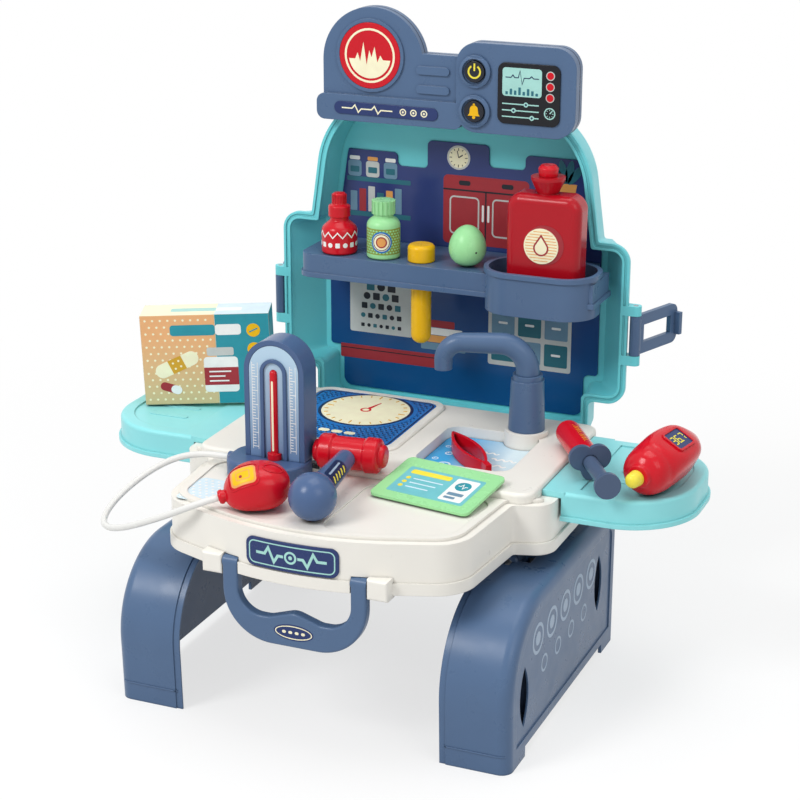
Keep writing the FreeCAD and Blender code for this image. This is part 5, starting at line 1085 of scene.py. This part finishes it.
# green bottle: patterned label with a ringed badge
greenBottleSet = {"body": "bottle_green", "face": roundNode("green_bottle", 14.0, -70.0), "prints": {
    "label": inked("mossInk", plate(-19.0, 4.5, 19.0, 25.5, 1.5), step=2.5),
    "dots": marks("mintInk", "dots", (0.0, 15.0), Columns=12, Rows=9, Pitch_X=2.9, Pitch_Y=2.2, Radius=0.8, Height=0.22,
                  Sides=6, Stretch=1.3),
    "badgeRim": inked("printInk", disc(-1, 15, 8.8), lift=0.30, step=2.5),
    "badge": inked("creamInk", disc(-1, 15, 7.4), lift=0.36, step=2.5),
    "badgeLine": inked("inkBlueInk", ring(-1, 15, 6.9, 0.6), lift=0.42, step=2.5),
    "middle": inked("orangeInk", disc(-1, 15, 4.6), lift=0.42, step=2.5)
    + inked("brickInk", ring(-1, 15, 4.6, 1.0), lift=0.48, step=2.5)}}
dress(greenBottleSet)

# egg: dark dot of painted shade that stands for the small hole that the mould leaves
eggSet = {"body": "egg", "face": roundNode("toy_egg", 15.0, -42.0), "prints": {
    "hole": inked("coalInk", disc(0, 14.0, 0.8, 14), lift=0.05)}}
dress(eggSet)

# badge of the water bag: stripes and a drop, and a dark disc of painted shadow that the badge casts on the bag
badgeRadius, stripeLow, stripePitch, stripeCount = 13.0, -11.62, 2.3, 11
stripes = [(math.sqrt(badgeRadius ** 2 - v * v), v) for v in (stripeLow + stripePitch * i for i in range(stripeCount))]
drop, dropInner = ([(0, top)] + arc(0, -1.55, radius, 150, 390, 32) for top, radius in ((9.61, 6.2), (7.316, 4.9)))
bagSet = {"body": "water_bag", "face": frontOf("bag_badge"), "prints": {
    "stripes": inked("orangeInk", *[stroke([(-half, v), (half, v)], 0.55) for half, v in stripes]),
    "drop": inked("creamInk", drop, lift=0.14) + inked("brickInk", [drop, dropInner[::-1]], lift=second)}}
dress(bagSet)
# painted shadow: dark disc offset behind the badge
bagBadgeShadowSet = {"body": "water_bag", "face": overFront("hot_water_bag", "bag_badge"), "prints": {
    "rim": inked("brickInk", disc(2.6, 1.0, 15.6, 48), lift=0.3, step=4.0)}}
dress(bagBadgeShadowSet)

# rows of rings in the recess of each leg, dark boxes of painted shadow behind the strap slots, the line above each foot
legSet = {"middle": (-34.0, 66.0), "reach": 20.0, "bigRow": (-62, -31, 0, 31, 62),
          "smallRow": (-46.5, -15.5, 15.5, 46.5),
          "slots": ((-124.05, 48.0), (47.95, 66.0)), "pocketAt": 147.6, "pocket": (-13.0, -28.0, 13.0, 28.0, 9.0),
          "shelf": (130.95, -36.0, 107.6), "shelfHalf": (24.45, 56.0), "foot": (131.0, 15.0)}


def dressLeg(s, body, node, side):
    low, high, middle = boxOf(node)
    x, y, z = s["shelf"]
    a, b = s["shelfHalf"]
    outer = (high.x if side > 0 else low.x, *s["middle"])
    dress({"body": body, "face": overNode(node, outer, back * side, above, s["reach"]), "prints": {
        "big": inked("paleSlateInk", *[ring(u, 16.0, 12.0, 2.6) for u in s["bigRow"]]),
        "dots": inked("paleSlateInk", *[disc(u, 16.0, 5.2) for u in s["bigRow"]]),
        "small": inked("paleSlateInk", *[ring(u, -10.0, 7.0, 1.8) for u in s["smallRow"]])}})
    # painted shadow: a dark box behind each strap slot stands for the shade in the leg's hollow
    for slot in s["slots"]:
        dress({"body": body, "face": flatFace((side * s["pocketAt"], *slot), back * side, above), "prints": {
            "back": inked("pocketShade", plate(*s["pocket"]), lift=0.5, sink=1.0),
            "walls": inked("pocketShade", border(*s["pocket"], 1.4), lift=7.6, sink=0.5)}})
    dress({"body": body, "face": flatFace((side * x, y, z), right, back), "prints": {  # dark plate of painted shadow that closes the gap under the hinge
        "shelf": inked("pocketShade", plate(-a, -b, a, b, 2.0), lift=0.4, sink=0.8)}})
    footX, footZ = s["foot"]
    dress({"body": body, "face": overNode(node, (side * footX, low.y, footZ), right, above), "prints": {
        "line": inked("slateShell", plate(-23.5, -0.6, 23.5, 0.6, 0.5, 2), lift=0.6, sink=0.2, step=2.5)}})


dressLeg(legSet, "right_leg", "leg_right", 1)
dressLeg(legSet, "left_leg", "leg_left", -1)

# printed sheet in the left front tray
traySet = {"body": "table", "face": flatFace((-93.0, -128.0, 169.8), right, back), "prints": {
    "sheet": inked("poolPaleInk", plate(-15, -22, 15, 22, 5)),
    "dots": marks("whiteInk", "dots", (0, 0), Columns=5, Rows=8, Pitch_X=5.4, Pitch_Y=5.0, Radius=1.1, Height=0.3,
                  Sides=10)}}
dress(traySet)

# printed board in the back tray: a room with a red cabinet, clock, jars, chart and a bench
doors, clock = ((1.5, 17.6), (38.5, 22.4)), (-4.0, 371.5)  # middle of each cabinet door and where its knob is
jars = ((-96, "steelBlueInk", "whiteInk"), (-80, "ashInk", "orangeInk"), (-64, "steelBlueInk", "whiteInk"))
rowInks = ("steelBlueInk", "brickInk", "ashInk", "dimTealInk", "orangeInk", "steelBlueInk")
bookInks = (("steelBlueInk", 40), ("orangeInk", 34), ("whiteInk", 37), ("brickInk", 30))


def jarRows(u, glass, lid):
    return (inked(glass, plate(u - 6, 348.6, u + 6, 362, 2.4)) + inked(lid, plate(u - 4.6, 362.4, u + 4.6, 365.6, 1.0))
            + inked("dimTealInk", plate(u - 4, 352, u + 4, 357, 0.8), lift=second))


def chartRows(count):  # each row has smaller signs, and one more
    rows = []
    for row in range(count):
        size, v = 3.6 - row * 0.5, 255 - row * 8.6
        for i in range(row + 3):
            u = -72.5 + (i - (row + 2) / 2) * (size * 2 + 2.4)
            shape = disc(u, v, size, 20) if (i + row) % 2 else plate(u - size, v - size, u + size, v + size, 0.5, 2)
            rows += inked("coalInk" if (i + row) % 3 else "dimTealInk", shape, lift=second)
    return rows


def drawerRow(u, v, ink):
    return (inked(ink, plate(u, v, u + 20, v + 19, 1.4), lift=second)
            + inked("whiteInk", plate(u + 6, v + 9, u + 14, v + 11, 0.8), lift=third))


boardSet = {"body": "back_panel", "face": flatFace((0, boxOf("art_board")[0].y, 0), right, above), "prints": {
    "cabinet": inked("brickInk", plate(-17, 300, 57, 357, 4.0)),
    "seams": inked("coalInk", stroke([(20, 300), (20, 345)], 1.2), stroke([(-17, 345), (57, 345)], 1.4), lift=second),
    "doors": inked("ashInk", *[border(u - 13, 308, u + 13, 340, 4.0, 1.3) for u, knob in doors], lift=second),
    "knobs": inked("whiteInk", *[plate(knob - 0.9, 320, knob + 0.9, 334, 0.8) for u, knob in doors], lift=third),
    "handles": inked("coalInk", *[plate(u - 5, 349, u + 5, 353, 1.6) for u, knob in doors], lift=second),
    "clock": inked("ashInk", disc(*clock, 10.0), lift=second) + inked("creamInk", disc(*clock, 8.4), lift=third),
    "clockMarks": marks("coalInk", "dial", clock, Count=12, Radius=7.8, Length=1.4, Width=0.5, Height=0.7,
                        Long_every=3, Long_share=1.5),
    "hands": inked("coalInk", stroke([clock, (-0.4, 373.9)], 0.9), stroke([clock, (-5.2, 377.1)], 0.7), lift=fourth),
    "shelves": inked("dimTealInk", plate(-103, 344.6, -46, 348.4, 0.8), plate(-103, 315, -46, 319, 0.8)),
    "jars": [row for jar in jars for row in jarRows(*jar)],
    "tins": [row for i, ink in enumerate(rowInks)
             for row in inked(ink, plate(-100 + i * 8, 319.4, -94 + i * 8, 336 + i % 3 * 2.4, 0.6))],
    "chart": inked("ashInk", plate(-101, 214, -44, 262, 2.0)) + chartRows(5),
    "bench": inked("brickInk", plate(-110, 190, -22, 202, 1.2))
    + inked("coalInk", stroke([(-110, 198.6), (-22, 198.6)], 0.8), lift=second),
    "drawers": inked("ashInk", plate(24, 200, 96, 250, 2.0)) + [
        row for i in range(2) for j in range(3)
        for row in drawerRow(27 + j * 23, 204 + i * 23, "steelBlueInk" if (i + j) % 2 else "dimTealInk")],
    "pot": inked("orangeInk", [(81, 346), (95, 346), (97, 358), (79, 358)]),
    "leaves": inked("dimTealInk", *[turned(oval(0, 12, 3.4, 9.5, 20), 88, 356, lean) for lean in (-38, -12, 14, 40)],
                    lift=second),
    "books": [row for i, (ink, wide) in enumerate(bookInks)
              for row in inked(ink, plate(-36, 206 + i * 6.6, wide - 36, 212.2 + i * 6.6, 1.0))]}}
dress(boardSet)
print("stage: prints drawn", len(films))


def makeFilms():
    for (body, finish), (verts, faces) in films.items():
        name = finish + "On" + "".join(part.capitalize() for part in body.split("_"))
        film = addObject(name, addMesh(name, verts, faces, finish))
        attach(film, body)


makeFilms()
print("stage: films laid")


# studio: pale floor that fades to white, three soft lamps
studioSet = {
    "floor": 12.0, "paper": (0.95, 0.95, 0.95, 1.0), "dimPaper": (0.68, 0.68, 0.68, 1.0), "matt": 0.9, "sheen": 0.1,
    "fadeFrom": 0.30, "fadeTo": 0.95, "fadeLow": 0.7, "white": (1.0, 1.0, 1.0, 1.0), "world": 0.48,
    "lamps": [("keyLamp", (-1.2, -2.0, 2.2), 1.0, 43.0), ("fillLamp", (1.9, -1.2, 1.8), 1.4, 12.0),
              ("topLamp", (0.1, 0.2, 2.7), 1.6, 22.0)],
    "aim": (0.0, 0.0, 0.2),
}


def seenRays(tree):
    path = addNode(tree, "LightPath")
    either, seen = addNode(tree, "Math", "MAXIMUM"), addNode(tree, "Math", "MAXIMUM")
    join(path, "Is Camera Ray", either, 0)
    join(path, "Is Glossy Ray", either, 1)
    join(either, 0, seen, 0)
    join(path, "Is Transmission Ray", seen, 1)
    return seen


def mixShaders(tree, share, first, second, end):
    mix = addNode(tree, "MixShader")
    for i, node in enumerate((share, first, second)):
        join(node, 0, mix, i)
    join(mix, 0, tree.nodes[end], "Surface")


def makeWorld(s):
    world = bpy.data.worlds.new("studioWhite")
    bpy.context.scene.world = world
    world.use_nodes = True
    tree = world.node_tree
    light = tree.nodes["Background"]
    light.inputs["Color"].default_value = s["white"]
    light.inputs["Strength"].default_value = s["world"]
    seen = addNode(tree, "Background", Color=s["white"], Strength=1.0)
    mixShaders(tree, seenRays(tree), light, seen, "World Output")


def makeLamps(s):
    for name, place, size, watts in s["lamps"]:
        data = bpy.data.lights.new(name, "AREA")
        data.energy, data.size = watts, size
        lamp = addObject(name, data)
        lamp.location = place
        lamp.rotation_euler = (Vector(s["aim"]) - Vector(place)).to_track_quat("-Z", "Y").to_euler()


def makeFloor(s):
    mesh = bpy.data.meshes.new("studioFloor")
    half = s["floor"] / 2
    mesh.from_pydata([(-half, -half, 0), (half, -half, 0), (half, half, 0), (-half, half, 0)], [], [(0, 1, 2, 3)])
    material, tree, shader, where = newFinish("palePaper", s["sheen"])
    shader.inputs["Roughness"].default_value = s["matt"]
    paper = mixColours(tree, s["dimPaper"], s["paper"])  # white as seen, duller as it lights the pieces
    seen = seenRays(tree)
    join(seen, 0, paper, 0)
    join(paper, mixResult, shader, "Base Color")
    far = addNode(tree, "VectorMath", "LENGTH")
    ramp = addNode(tree, "MapRange", From_Min=s["fadeFrom"], From_Max=s["fadeTo"], To_Min=s["fadeLow"])
    ramp.interpolation_type = "SMOOTHSTEP"
    share = addNode(tree, "Math", "MULTIPLY")
    join(where, "Object", far, 0)
    join(far, "Value", ramp, "Value")
    join(ramp, "Result", share, 0)
    join(seen, 0, share, 1)
    mixShaders(tree, share, shader, addNode(tree, "Emission"), "Material Output")
    mesh.materials.append(material)
    floor = addObject("studioFloor", mesh)


makeWorld(studioSet)
makeLamps(studioSet)
makeFloor(studioSet)
bpy.context.scene.view_settings.view_transform = "Standard"
print("stage: studio lit")
